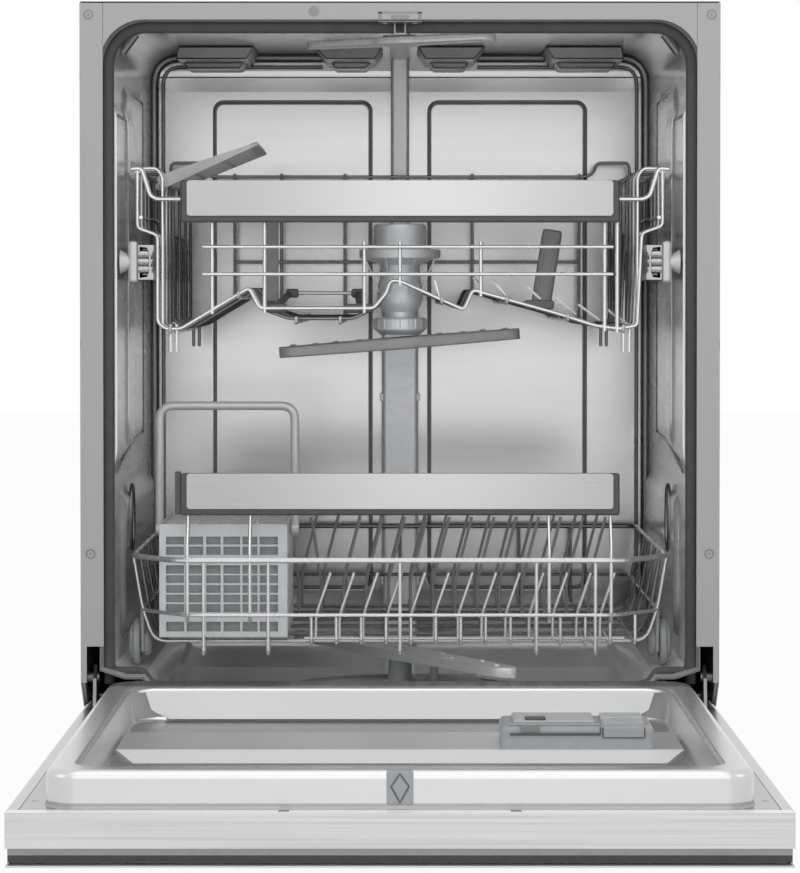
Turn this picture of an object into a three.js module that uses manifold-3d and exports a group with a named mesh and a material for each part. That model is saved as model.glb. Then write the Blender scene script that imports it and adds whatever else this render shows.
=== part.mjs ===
// Built-under dishwasher with its door open, in millimetres, +Z up.
// Model space has x to the right, y back from the cabinet's front flange and z up from the floor.
// The exported group moves that space so that its origin is under the middle of the whole thing.
import * as THREE from "three";
import { mergeVertices } from "three/addons/utils/BufferGeometryUtils.js";
import { ConvexGeometry } from "three/addons/geometries/ConvexGeometry.js";
import Module from "manifold-3d";

const wasm = await Module();
wasm.setup();

// Overall sizes and the clearances that the whole machine shares.
const cabinetWidth = 598;
const halfWidth = cabinetWidth / 2;
const cabinetHeight = 820;
const cabinetDepth = 560;
const gap = 0.3; // between pieces that seat on each other
const overrun = 2; // how far a cutter passes the face that it cuts
const sheet = 1.2; // folded cabinet steel
const tubWall = 1.5;
const wallSides = 8; // steps in a quarter of a turn on large round corners

// Cabinet: side panels with folded front flanges, cover, back and kick panel.
const flangeWidth = 21.5;
const narrowFlange = 5.6; // the flange beside the hinge slot
const hingeSlotTop = 217;
const sideBottom = 30;
const rearFlange = 15;
const toeNotchDepth = 92; // room under the tub for the door's lower edge
const toeNotchTop = 157;
const flangeFoot = 183;
const openingCorner = 41;
const rearPanelBottom = 60;
const kickSetback = 60;
const kickBottom = 15;
const kickHeight = 75;
const kickTop = kickBottom + kickHeight;
const kickSheet = 2;
const kickSideGap = 4;
const kickArmInset = 52;
const kickArmWidth = 14;
const kickArmFoot = 32;

// Base tray, and the levelling feet that screw into it.
const trayBottom = 24;
const trayFloor = 4;
const trayWall = 3;
const traySideGap = 6;
const trayHalfWidth = halfWidth - traySideGap;
const trayBackInset = 12;
const trayTop = 128;
const trayRibInset = 12; // from the tub's side to the rib that carries it
const trayRibWall = 4;
const footPadRadius = 18;
const footPadHeight = 10;
const footStemRadius = 5;
const footStemTop = 88;
const footBossRadius = 11;
const footBossTop = 74;
const footClearance = 0.5;
const footInsetX = 46;
const footFrontY = 130;
const footRearInset = 50;
const footSides = 16;

// Tub: a steel box with a wider collar in front that holds the gasket.
const tubSideRoom = 35; // from the cabinet's side to the inside of the tub
const tubHalfWidth = halfWidth - tubSideRoom;
const tubBack = 525;
const ceilingRoom = 12; // from the cover's top to the inside of the tub
const tubCeiling = cabinetHeight - ceilingRoom;
const tubCorner = 30;
const collarStep = 16;
const collarHalfWidth = tubHalfWidth + collarStep;
const collarDrop = 5;
const collarTop = tubCeiling - collarDrop;
const collarDepth = 41;
const collarFoot = 160;
const ledgeTop = 187.5; // side ledges that the lower rack's wheels run on
const ledgeWidth = 28;
const basinHalfWidth = tubHalfWidth - ledgeWidth;
const sillY = 32;
const sillTop = 176;
const basinFrontY = 140;
const basinFloor = 152;
const basinRearY = 400;
const basinRearFloor = 162;
const gasketDepth = 9.7;
const gasketFace = 31;
const gasketWidth = 12.5;
const gasketFoot = 178;

// Wash system under and behind the tub.
const sumpY = 250;
const sumpHoleRadius = 95;
const sumpWall = 3;
const sumpBottom = 62;
const sumpLip = 8;
const sumpSides = 32;
const filterX = 46;
const filterY = 222;
const filterRadius = 33;
const filterWall = 2;
const filterBottom = 100;
const filterTop = 160;
const filterGrip = 6;
const filterSeat = 4;
const filterClearance = 0.8; // round the cup as it turns
const filterSides = 20;
const spindleRadius = 12;
const spindleTop = 179.2;
const spindlePin = 6;
const spindlePinTop = 190;
const pumpRadius = 40;
const chamberRadius = 45;
const chamberLength = 25;
const pumpNeckRadius = 14;
const pumpNeckLength = 24;
const pumpRoom = 12;
const pumpLength = basinHalfWidth - sumpHoleRadius - pumpNeckLength - pumpRoom;
const pumpZ = 85;
const pumpStandWidth = 30;
const pumpStandInset = 20;
const drainRadius = 26;
const drainLength = 65;
const drainNeckRadius = 10;
const drainNeckLength = 18;
const pumpSides = 20;

// Feed pipe: along the floor, up the back wall and under the ceiling.
const pipeHalfWide = 20;
const pipeHalfSlim = 10;
const pipeDepth = 22;
const pipeFloorHeight = 12;
const pipeStepZ = 560;
const pipeCeilingHeight = 7;
const pipePortRadius = 13;
const pipePortLength = 6;

// Spray arms.
const ceilingArmY = 172;
const ceilingArmDrop = 17;
const ceilingArmZ = tubCeiling - ceilingArmDrop;
const ceilingArmHalf = 109;
const ceilingArmYaw = -32;
const middleArmHalf = 124;
const middleArmYaw = 8;
const lowerArmZ = 179.5;
const lowerArmRoom = 24;
const lowerArmHalf = basinHalfWidth - lowerArmRoom;
const lowerArmYaw = -59;
const armThick = 9;
const armHubRadius = 19;
const armRootWidth = 40;
const armTipWidth = 26;
const armBore = 6.6;
const armSides = 20;

// Door, open and level. Lengths run forward from the hinge line.
const hingeY = 29.5;
const hingeZ = 185;
const doorTopGap = 5.5; // from the closed door's end to the cabinet's top
const doorReach = cabinetHeight - doorTopGap - hingeZ - hingeY;
const doorTail = 84.5;
const doorInner = 155; // top of the open door's inner plane
const doorOuter = 113.5;
const doorSkin = 1.5;
const doorReturn = 8.5;
const capHeight = 27;
const capDepth = 17;
const capWall = 2;
const grooveHeight = 12.5;
const grooveDepth = 13;
const linerPlate = 2.5;
const plateauSide = 27;
const plateauHalfWidth = halfWidth - plateauSide;
const plateauInset = 18;
const plateauFront = doorReach - plateauInset;
const plateauBack = 3;
const plateauTop = 185;
const plateauCorner = 25;
const linerWall = 2;
const recessRim = 22;
const recessSlope = 25;
const recessHalfTop = plateauHalfWidth - recessRim;
const recessHalfFloor = recessHalfTop - recessSlope;
const recessFrontTop = plateauFront - recessRim;
const recessFrontSlope = 20;
const recessFrontFloor = recessFrontTop - recessFrontSlope;
const recessBackTop = 51;
const recessBackFloor = 95;
const recessFloor = 159;
const platformHeight = 6;
const platformInset = 257;
const platformFront = doorReach - platformInset;
const platformLength = 123;
const platformBack = platformFront - platformLength;

// Door fittings.
const dispenserWidth = 128;
const dispenserSide = 12;
const dispenserRight = recessHalfFloor - dispenserSide;
const dispenserLeft = dispenserRight - dispenserWidth;
const dispenserInset = 15;
const dispenserLength = 72;
const dispenserFront = platformFront - dispenserInset;
const dispenserBack = dispenserFront - dispenserLength;
const dispenserTop = 186;
const dispenserDepth = 40;
const dispenserFlange = 4;
const dispenserCupFloor = 5;
const lidThick = 2.6;
const lidSide = 10;
const lidWidth = 69;
const lidLeft = dispenserLeft + lidSide;
const lidRight = lidLeft + lidWidth;
const lidInset = 8;
const rinseStep = 6;
const rinseWidth = 36;
const rinseLeft = lidRight + rinseStep;
const rinseRight = rinseLeft + rinseWidth;
const rinseDepth = 22;
const catchHalfWidth = 10.5;
const catchDepth = 14;
const catchSlotHalf = 7;
const catchSlotDepth = 9;
const catchFoot = 158;
const strikeTongue = 13.2;
const displayHalfWidth = 60;
const controlInset = 22;
const controlHeight = 16;
const controlNear = doorReach - controlInset;
const controlFar = controlNear - controlHeight;
const controlDepth = 4;
const buttonRadius = 7;
const buttonX = 90;
const buttonClearance = 0.5;
const buttonSides = 16;
const armPlate = 3;
const armInset = 10;
const armX = halfWidth - armInset;
const armHalf = 12;
const armFoot = 133;
const armReach = 20;
const hingePin = 5;
const hingeClearance = 0.4;
const bracketPlate = 2.4;
const bracketX = cabinetWidth / 2 - sheet - gap - bracketPlate;
const bracketBack = 118;
const bracketTop = 236;
const bracketFoot = 159;

// Wires and the upper rack. Profile points are x and z across the rack.
const wire = 3.6;
const rimWire = 5.4;
const fineWire = 3.2;
const weldShare = 0.35; // how far two welded wires stand apart, of their thickness
const upperFront = 62;
const upperRear = 490;
const rimDrop = 144; // from the tub's ceiling to the upper rack's rim
const upperRim = tubCeiling - rimDrop;
const upperSideRoom = 14;
const upperHalf = tubHalfWidth - upperSideRoom;
const upperDepth = 150; // from the rim to the lowest wire
const sideRailDrop = 44;
const upperSideRail = upperRim - sideRailDrop;
const upperHoopYShares = [0, 0.117, 0.229, 0.332, 0.556, 0.668, 0.78, 0.89, 1];
const upperHoopShares = [
  [-1, 1],
  [-1, 0.64],
  [-0.924, 0.593],
  [-0.924, 0.04],
  [-0.836, 0],
  [-0.576, 0.26],
  [-0.436, 0.06],
  [-0.188, 0.06],
  [-0.036, 0.307],
  [0.244, 0.12],
  [0.278, 0.247],
  [0.744, 0.02],
  [0.904, 0.02],
  [0.922, 0.607],
  [1, 0.653],
  [1, 1],
];
const upperRunShares = [-0.876, -0.616, -0.396, -0.228, 0.16, 0.36, 0.544, 0.66, 0.852];
const frontWireDrops = [72, 98];
const frontWireShares = [-0.752, 0.804];
const frontUprightShares = [-0.716, -0.516, -0.136, 0, 0.308, 0.78];
const handleSideRoom = 61.5;
const handleHalf = tubHalfWidth - handleSideRoom;
const handleBorder = 6;
const facingHeight = 34;
const facingThick = 2;
const backingThick = 10;
const facingDrop = 43;
const upperFacingZ = upperRim - facingDrop;
const wireFace = (wire / 2) * Math.SQRT1_2; // from a wire's middle to its flat faces
const upperHandleY = upperFront - wire / 2 - wireFace - gap - facingThick - backingThick;
const handleRadius = 2;

// Runners that carry the upper rack, and the brackets that set its height.
const railInset = 15;
const railX = tubHalfWidth - railInset;
const railThick = 7;
const railHeight = 34;
const railDrop = 104;
const railZ = upperRim - railDrop;
const railFront = 44;
const railRear = 505;
const railBossRadius = 9;
const railBossInset = 40;
const slideSection = 15.6;
const slideX = railX - gap - slideSection;
const slideWall = 1.6;
const slideLip = 9;
const adjusterDrop = 9;
const adjusterTop = upperRim - adjusterDrop;
const adjusterThick = 5;
const adjusterFront = 212;
const adjusterRear = 292;

// Fold-down pieces of the upper rack.
const shelfBarrel = 4;
const shelfDrop = 14;
const shelfZ = upperRim - shelfDrop;
const shelfWidth = 104;
const shelfTilt = 22;
const shelfFront = 72;
const shelfRear = 285;
const shelfThick = 3.4;
const shelfBar = 9;
const shelfSlots = 6;
const flapXShare = 0.544;
const flapHeight = 78.5;
const flapWidth = 20;
const flapTilt = 9;
const flapY = 118;
const flapThick = 4;

// Manifold that feeds the middle spray arm.
const hubY = 252;
const ductHalf = 17;
const ductDrop = 80;
const ductBottom = upperRim - ductDrop;
const ductHeight = 20;
const manifoldNeck = 34;
const manifoldTop = ductBottom + manifoldNeck;
const manifoldRadius = 27;
const manifoldFlange = 41;
const flangeLap = 1;
const manifoldFlangeZ = ductBottom - flangeLap;
const manifoldFlangeHeight = 9;
const manifoldWaist = 20;
const manifoldNut = 27;
const stemLength = 73;
const manifoldNutZ = ductBottom - stemLength;
const manifoldNutHeight = 12;
const manifoldPin = 6;
const middleArmDrop = 19;
const middleArmZ = manifoldNutZ - middleArmDrop;
const pinReach = 8;
const manifoldPinEnd = middleArmZ - pinReach;

// Lower rack.
const lowerFront = 33;
const lowerShoulder = 88;
const lowerRear = 500;
const lowerFrontInset = 46; // how much narrower the rack is at its front
const lowerSideRoom = 7;
const lowerHalf = tubHalfWidth - lowerSideRoom;
const lowerFlare = 9;
const lowerMidHalf = lowerHalf - lowerFlare;
const lowerTopRail = 295;
const lowerMidRail = 243;
const lowerFloor = 216;
const lowerRunShares = [-0.712, -0.475, -0.237, 0, 0.237, 0.498, 0.712];
const lowerCrossInset = 6;
const lowerCrossPitch = 71;
const lowerCrossCount = 6;
const lowerFootInset = 20;
const lowerFootHalf = lowerHalf - lowerFootInset;
const lowerHandleY = 40;
const lowerFacingZ = 343;
const wheelRadius = 22;
const wheelThick = 7;
const wheelRoom = 13;
const wheelX = tubHalfWidth - wheelRoom;
const wheelZ = 210;
const wheelYs = [112, 430];
const axleRadius = 4;
const axleClearance = 0.5;
const wheelPlate = 4;
const wheelPlateHalf = 17;
const wheelSides = 24;
const tineRows = { front: 75, middle: 275, rear: 390 };
const tineLean = 14;
const tineSpacing = 22.7;
const tineFrontTop = 280;
const tineRearTop = 308;
const tineRodZ = 218.9;
const tineLeftShare = -0.358;
const tineRightShare = 0.837;
const tineRearLeftShare = -0.798;
const tineBendShare = 0.35;

// Cutlery basket and its handle.
const cutleryInset = 26;
const cutleryWidth = 123.5;
const cutleryLeft = -lowerHalf + cutleryInset;
const cutleryRight = cutleryLeft + cutleryWidth;
const cutleryFront = 72;
const cutleryLength = 171;
const cutleryBack = cutleryFront + cutleryLength;
const cutleryBottom = 217.7;
const cutleryTop = 327;
const cutleryWall = 2.4;
const cutleryColumns = 4;
const cutleryRows = 4;
const cutleryBar = 4;
const cutleryRim = 9;
const bailY = 150;
const bailTop = 442;
const bailSection = 9;
const bailPivotZ = 318;
const bailCorner = 8;

// Each finish gives a material its colour, roughness and metalness.
const finishes = {
  cabinetSteel: { color: 0xb0b1b0, roughness: 0.5, metalness: 0.6 },
  polishedSteel: { color: 0xc9cac9, roughness: 0.22, metalness: 1 },
  brushedSteel: { color: 0xbfc0bf, roughness: 0.34, metalness: 1 },
  chromedWire: { color: 0xa9abab, roughness: 0.35, metalness: 0.5 },
  coatedWire: { color: 0xb4b6b5, roughness: 0.5, metalness: 0.1 },
  darkPlastic: { color: 0x505252, roughness: 0.55, metalness: 0 },
  greyPlastic: { color: 0x9a9d9f, roughness: 0.5, metalness: 0 },
  palePlastic: { color: 0xb4b8bb, roughness: 0.45, metalness: 0 },
  blackGloss: { color: 0x111213, roughness: 0.12, metalness: 0 },
  rubber: { color: 0x3c3d3d, roughness: 0.8, metalness: 0 },
};

// A closed geometry as a solid that can be joined and cut.
function solidOf(geometry) {
  const bare = geometry.clone();
  bare.deleteAttribute("normal");
  bare.deleteAttribute("uv");
  const merged = mergeVertices(bare);
  return new wasm.Manifold(
    new wasm.Mesh({
      numProp: 3,
      vertProperties: merged.attributes.position.array,
      triVerts: new Uint32Array(merged.index.array),
    }),
  );
}

function join(solids) {
  return solids.reduce((whole, piece) => whole.add(piece));
}

function cut(solid, cutters) {
  return cutters.reduce((rest, cutter) => rest.subtract(cutter), solid);
}

// A box from its low and high corner on each axis.
function block([x0, x1], [y0, y1], [z0, z1]) {
  const geometry = new THREE.BoxGeometry(x1 - x0, y1 - y0, z1 - z0);
  return solidOf(geometry.translate((x0 + x1) / 2, (y0 + y1) / 2, (z0 + z1) / 2));
}

// A round bar along x, y or z from one end to the other, about the point across.
function bar(axis, radius, [from, to], [a, b], sides) {
  const geometry = new THREE.CylinderGeometry(radius, radius, to - from, sides);
  const middle = (from + to) / 2;
  if (axis === "x") geometry.rotateZ(Math.PI / 2).translate(middle, a, b);
  if (axis === "y") geometry.translate(a, middle, b);
  if (axis === "z") geometry.rotateX(Math.PI / 2).translate(a, b, middle);
  return solidOf(geometry);
}

function outline(points) {
  return new THREE.Shape(points.map(([a, b]) => new THREE.Vector2(a, b)));
}

// A rectangle whose top corners, and bottom ones if asked, are rounded.
function roundedOutline([a0, a1], [b0, b1], radius, roundFoot) {
  const shape = new THREE.Shape();
  const foot = roundFoot ? radius : 0;
  const quarter = Math.PI / 2;
  shape.moveTo(a0 + foot, b0);
  shape.lineTo(a1 - foot, b0);
  if (foot) shape.absarc(a1 - foot, b0 + foot, foot, -quarter, 0, false);
  shape.absarc(a1 - radius, b1 - radius, radius, 0, quarter, false);
  shape.absarc(a0 + radius, b1 - radius, radius, quarter, Math.PI, false);
  if (foot) shape.absarc(a0 + foot, b0 + foot, foot, Math.PI, Math.PI + quarter, false);
  return shape;
}

// An outline in x and y, raised from one height to another.
function raised(shape, [z0, z1]) {
  const options = { depth: z1 - z0, bevelEnabled: false, curveSegments: wallSides };
  return solidOf(new THREE.ExtrudeGeometry(shape, options).translate(0, 0, z0));
}

// An outline in x and z, drawn out from one y to another.
function across(shape, [y0, y1]) {
  const options = { depth: y1 - y0, bevelEnabled: false, curveSegments: wallSides };
  return solidOf(new THREE.ExtrudeGeometry(shape, options).rotateX(Math.PI / 2).translate(0, y1, 0));
}

// An outline in y and z, drawn out from one x to another.
function sideways(shape, [x0, x1]) {
  const options = { depth: x1 - x0, bevelEnabled: false, curveSegments: wallSides };
  const geometry = new THREE.ExtrudeGeometry(shape, options);
  return solidOf(geometry.rotateX(Math.PI / 2).rotateZ(Math.PI / 2).translate(x0, 0, 0));
}

// The hull of two level rectangles, each given as its x range, y range and height.
function tapered(low, high) {
  const corners = [low, high].flatMap(([[x0, x1], [y0, y1], z]) => [
    new THREE.Vector3(x0, y0, z),
    new THREE.Vector3(x1, y0, z),
    new THREE.Vector3(x0, y1, z),
    new THREE.Vector3(x1, y1, z),
  ]);
  return solidOf(new ConvexGeometry(corners));
}

// A wire of the given thickness bent through the points, with mitred bends.
// It is a closed loop where its last point is its first one.
function bentWire(points, thickness, sides = 4) {
  const path = points.map((point) => new THREE.Vector3(...point));
  const last = path.length - 1;
  const runs = path.slice(1).map((point, i) => point.clone().sub(path[i]).normalize());
  const looped = path[0].equals(path[last]);
  const before = looped ? runs[last - 1] : runs[0];
  const after = looped ? runs[0] : runs[last - 1];
  const upright = Math.abs(runs[0].z) > Math.SQRT1_2;
  const side = new THREE.Vector3(upright ? 1 : 0, 0, upright ? 0 : 1).cross(runs[0]).normalize();
  const over = runs[0].clone().cross(side);
  let ring = Array.from({ length: sides }, (_, k) => {
    const turn = ((k + 0.5) * 2 * Math.PI) / sides;
    const offset = side.clone().multiplyScalar(Math.cos(turn)).addScaledVector(over, Math.sin(turn));
    const slide = -offset.dot(before) / before.clone().add(runs[0]).dot(runs[0]);
    return path[0].clone().addScaledVector(offset.addScaledVector(runs[0], slide), thickness / 2);
  });
  const positions = ring.flatMap((point) => point.toArray());
  for (let i = 1; i <= last; i++) {
    const along = runs[i - 1];
    const mitre = along.clone().add(i < last ? runs[i] : after);
    ring = ring.map((point) => {
      const reach = path[i].clone().sub(point).dot(mitre) / along.dot(mitre);
      return point.clone().addScaledVector(along, reach);
    });
    positions.push(...ring.flatMap((point) => point.toArray()));
  }
  const faces = [];
  for (let k = 0; k < sides; k++) {
    const next = (k + 1) % sides;
    for (let i = 0; i < last; i++) {
      const [a, b, c, d] = [k, next, next + sides, k + sides].map((corner) => corner + i * sides);
      faces.push(a, b, c, a, c, d);
    }
    if (!looped && k > 0 && next > 0) {
      faces.push(0, next, k, last * sides, last * sides + k, last * sides + next);
    }
  }
  const geometry = new THREE.BufferGeometry();
  geometry.setAttribute("position", new THREE.Float32BufferAttribute(positions, 3));
  geometry.setIndex(faces);
  return solidOf(geometry);
}

const part = new THREE.Group();
part.position.y = (doorReach - cabinetDepth) / 2;

// A named mesh with its own material, added to the part.
function place(name, finish, solid, group = part) {
  const { numProp, numVert, vertProperties, triVerts } = solid.getMesh();
  const positions = new Float32Array(numVert * 3);
  for (let i = 0; i < numVert; i++) {
    positions.set(vertProperties.subarray(i * numProp, i * numProp + 3), i * 3);
  }
  const geometry = new THREE.BufferGeometry();
  geometry.setAttribute("position", new THREE.BufferAttribute(positions, 3));
  geometry.setIndex(new THREE.BufferAttribute(triVerts, 1));
  geometry.computeVertexNormals();
  const mesh = new THREE.Mesh(geometry, new THREE.MeshStandardMaterial(finishes[finish]));
  mesh.name = name;
  group.add(mesh);
}

// An x range on the left or right side, from distances to the middle plane.
function sideRange(side, near, far) {
  return side < 0 ? [-far, -near] : [near, far];
}

const sides = { left: -1, right: 1 };
const coverBottom = cabinetHeight - sheet;

// Side panel: a sheet with a toe notch, its folded front flange and a rear flange.
function makeSidePanel(name, side) {
  const profile = outline([
    [0, coverBottom - gap],
    [0, flangeFoot],
    [hingeY, toeNotchTop],
    [toeNotchDepth, toeNotchTop],
    [toeNotchDepth, sideBottom],
    [cabinetDepth, sideBottom],
    [cabinetDepth, coverBottom - gap],
  ]);
  const flangeTop = coverBottom - gap;
  const outer = sideRange(side, halfWidth - sheet, halfWidth);
  const wide = sideRange(side, halfWidth - flangeWidth, halfWidth);
  const narrow = sideRange(side, halfWidth - narrowFlange, halfWidth);
  const rear = sideRange(side, halfWidth - rearFlange, halfWidth);
  const solid = join([
    sideways(profile, outer),
    block(wide, [0, sheet], [hingeSlotTop, flangeTop]),
    block(narrow, [0, sheet], [flangeFoot, flangeTop]),
    block(rear, [cabinetDepth - sheet, cabinetDepth], [rearPanelBottom, flangeTop]),
  ]);
  place(name, "cabinetSteel", solid);
}

// The crossmember above the opening, with the two rounded upper corners.
function makeFrontFrame() {
  const half = halfWidth - flangeWidth - gap;
  const top = coverBottom - gap;
  const plate = block([-half, half], [0, sheet], [collarTop - openingCorner, top]);
  const mouth = roundedOutline(
    [-collarHalfWidth, collarHalfWidth],
    [collarFoot, collarTop],
    openingCorner,
    false,
  );
  const hem = block(
    [-half, half],
    [0, collarDepth],
    [collarTop + tubWall + gap, collarTop + tubWall + gap + sheet],
  );
  place("front_frame", "cabinetSteel", join([cut(plate, [across(mouth, [-overrun, overrun])]), hem]));
}

function makeCovers() {
  const topRange = [coverBottom, cabinetHeight];
  place("top_cover", "cabinetSteel", block([-halfWidth, halfWidth], [0, cabinetDepth], topRange));
  const half = halfWidth - rearFlange - gap;
  const back = [cabinetDepth - sheet, cabinetDepth];
  place("rear_panel", "cabinetSteel", block([-half, half], back, [rearPanelBottom, coverBottom]));
}

// Kick panel in the toe space, held by two arms that reach the base tray.
function makeKickPanel() {
  const half = halfWidth - kickSideGap;
  const face = block([-half, half], [kickSetback, kickSetback + kickSheet], [kickBottom, kickTop]);
  const arms = Object.values(sides).map((side) => {
    const across = sideRange(side, half - kickArmInset - kickArmWidth, half - kickArmInset);
    return block(across, [kickSetback, toeNotchDepth - gap], [kickArmFoot, kickTop - kickArmWidth]);
  });
  place("kick_panel", "darkPlastic", join([face, ...arms]));
}

function footPlaces() {
  const x = halfWidth - footInsetX;
  const rear = cabinetDepth - footRearInset;
  return {
    foot_front_left: [-x, footFrontY],
    foot_front_right: [x, footFrontY],
    foot_rear_left: [-x, rear],
    foot_rear_right: [x, rear],
  };
}

// Base tray: floor, walls, the ribs that carry the tub and the feet's bosses.
function makeBaseTray() {
  const back = cabinetDepth - trayBackInset;
  const outer = block([-trayHalfWidth, trayHalfWidth], [toeNotchDepth, back], [trayBottom, trayTop]);
  const inner = block(
    [-trayHalfWidth + trayWall, trayHalfWidth - trayWall],
    [toeNotchDepth + trayWall, back - trayWall],
    [trayBottom + trayFloor, trayTop + overrun],
  );
  const ribTop = ledgeTop - tubWall - gap;
  const ribs = Object.values(sides).map((side) => {
    const ribX = tubHalfWidth - trayRibInset;
    return block(
      sideRange(side, ribX, ribX + trayRibWall),
      [toeNotchDepth, back],
      [trayBottom, ribTop],
    );
  });
  const bosses = Object.values(footPlaces()).map((at) =>
    bar("z", footBossRadius, [trayBottom, footBossTop], at, footSides),
  );
  const bores = Object.values(footPlaces()).map((at) =>
    bar("z", footStemRadius + footClearance, [trayBottom - overrun, footStemTop + overrun], at, footSides),
  );
  place("base_tray", "darkPlastic", cut(join([cut(outer, [inner]), ...ribs, ...bosses]), bores));
}

function makeFoot(name, at) {
  const pad = bar("z", footPadRadius, [0, footPadHeight], at, footSides);
  const stem = bar("z", footStemRadius, [footPadHeight - overrun, footStemTop], at, footSides);
  place(name, "darkPlastic", join([pad, stem]));
}

// The tub's inner surface, or with a wall thickness its outer one.
function tubBody(wall, front) {
  const bodyFoot = ledgeTop - wall;
  const room = across(
    roundedOutline(
      [-tubHalfWidth - wall, tubHalfWidth + wall],
      [bodyFoot, tubCeiling + wall],
      tubCorner,
      false,
    ),
    [front, tubBack + wall],
  );
  const basin = sideways(
    outline([
      [sillY - wall, ledgeTop + tubWall],
      [sillY - wall, sillTop - wall],
      [basinFrontY, basinFloor - wall],
      [basinRearY, basinFloor - wall],
      [tubBack + wall, basinRearFloor - wall],
      [tubBack + wall, ledgeTop + tubWall],
    ]),
    [-basinHalfWidth - wall, basinHalfWidth + wall],
  );
  return room.add(basin);
}

function collarOutline(spread, foot) {
  return roundedOutline(
    [-collarHalfWidth - spread, collarHalfWidth + spread],
    [foot, collarTop + spread],
    openingCorner,
    false,
  );
}

function makeTub() {
  const collar = across(collarOutline(tubWall, collarFoot), [sheet + gap, collarDepth + tubWall]);
  const mouth = across(collarOutline(0, collarFoot - overrun), [-overrun, collarDepth]);
  const shell = cut(tubBody(tubWall, collarDepth), [tubBody(0, collarDepth - overrun)]);
  const sill = block(
    [-collarHalfWidth, collarHalfWidth],
    [sillY, collarDepth + tubWall],
    [collarFoot, sillTop + tubWall],
  );
  const sillRoom = block(
    [-collarHalfWidth, collarHalfWidth],
    [sillY + tubWall, collarDepth + tubWall + overrun],
    [collarFoot - overrun, sillTop],
  );
  const step = cut(collar, [mouth, tubBody(0, 0)]);
  const sumpHole = bar(
    "z",
    sumpHoleRadius,
    [basinFloor - overrun - tubWall, ledgeTop],
    [0, sumpY],
    sumpSides,
  );
  // The heels stay inside the circle that the door's inner plane turns on.
  const heelReach = hingeZ - doorInner - gap * 2;
  const heelBack = hingeY - Math.sqrt(heelReach ** 2 - (hingeZ - collarFoot) ** 2);
  const heelTop = hingeZ - Math.sqrt(heelReach ** 2 - (hingeY - sheet - gap) ** 2);
  const heels = block([-halfWidth, halfWidth], [-overrun, heelBack], [collarFoot - overrun, heelTop]);
  place("tub", "polishedSteel", cut(join([step, shell, cut(sill, [sillRoom])]), [sumpHole, heels]));
}

// Door gasket: three-sided band in the collar, against its step.
function makeGasket() {
  const band = across(collarOutline(-gap, gasketFoot), [gasketFace, gasketFace + gasketDepth]);
  const inner = across(
    roundedOutline(
      [-collarHalfWidth + gasketWidth, collarHalfWidth - gasketWidth],
      [gasketFoot - overrun, collarTop - gasketWidth],
      openingCorner - gasketWidth,
      false,
    ),
    [0, collarDepth + overrun],
  );
  place("tub_gasket", "rubber", band.subtract(inner));
}

// Sump: a bowl under the hole in the tub, with the lower arm's spindle.
function makeSump() {
  const lipTop = basinFloor - tubWall - gap;
  const bowl = bar("z", sumpHoleRadius - gap, [sumpBottom, lipTop], [0, sumpY], sumpSides);
  const lip = bar(
    "z",
    sumpHoleRadius + sumpLip,
    [lipTop - sumpWall, lipTop],
    [0, sumpY],
    sumpSides,
  );
  const room = bar(
    "z",
    sumpHoleRadius - sumpWall,
    [sumpBottom + sumpWall, lipTop + overrun],
    [0, sumpY],
    sumpSides,
  );
  const spindle = bar("z", spindleRadius, [sumpBottom, spindleTop], [0, sumpY], filterSides);
  const pin = bar("z", spindlePin, [sumpBottom, spindlePinTop], [0, sumpY], filterSides);
  place("sump_housing", "darkPlastic", join([cut(bowl.add(lip), [room]), spindle, pin]));
}

function makeFilters() {
  const plateTop = basinFloor + gap;
  const seat = basinFloor - tubWall;
  const plate = bar("z", sumpHoleRadius - gap, [seat, plateTop], [0, sumpY], sumpSides);
  const holes = [
    bar("z", spindleRadius + gap, [sumpBottom, ledgeTop], [0, sumpY], filterSides),
    bar("z", filterRadius + filterClearance, [sumpBottom, ledgeTop], [filterX, filterY], filterSides),
  ];
  place("filter_plate", "polishedSteel", cut(plate, holes));
  const at = [filterX, filterY];
  const rim = bar("z", filterRadius + filterSeat, [plateTop + gap, filterTop], at, filterSides);
  const cup = bar("z", filterRadius, [filterBottom, filterTop], at, filterSides);
  const bore = bar("z", filterRadius - filterWall, [filterBottom + filterWall, filterTop + overrun], at,
    filterSides);
  const grip = block(
    [filterX - filterRadius + filterWall / 2, filterX + filterRadius - filterWall / 2],
    [filterY - filterGrip / 2, filterY + filterGrip / 2],
    [filterTop - filterGrip, filterTop + filterGrip],
  );
  place("filter_cylinder", "greyPlastic", cut(rim.add(cup), [bore]).add(grip));
}

// A motor with its pump chamber, its neck to the sump and its stand on the tray.
function makePump(name, side, radius, length, chamber, neck) {
  const start = sumpHoleRadius + gap;
  const line = [sumpY, pumpZ];
  const faceX = start + neck.length;
  const pieces = [
    bar("x", neck.radius, sideRange(side, start, faceX + overrun), line, pumpSides),
    bar("x", chamber.radius, sideRange(side, faceX, faceX + chamber.length), line, pumpSides),
    bar("x", radius, sideRange(side, faceX, faceX + length), line, pumpSides),
    block(
      sideRange(side, faceX + pumpStandInset, faceX + pumpStandInset + pumpStandWidth),
      [sumpY - radius / 2, sumpY + radius / 2],
      [trayBottom + trayFloor + gap, pumpZ],
    ),
  ];
  place(name, "darkPlastic", join(pieces));
}

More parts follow.
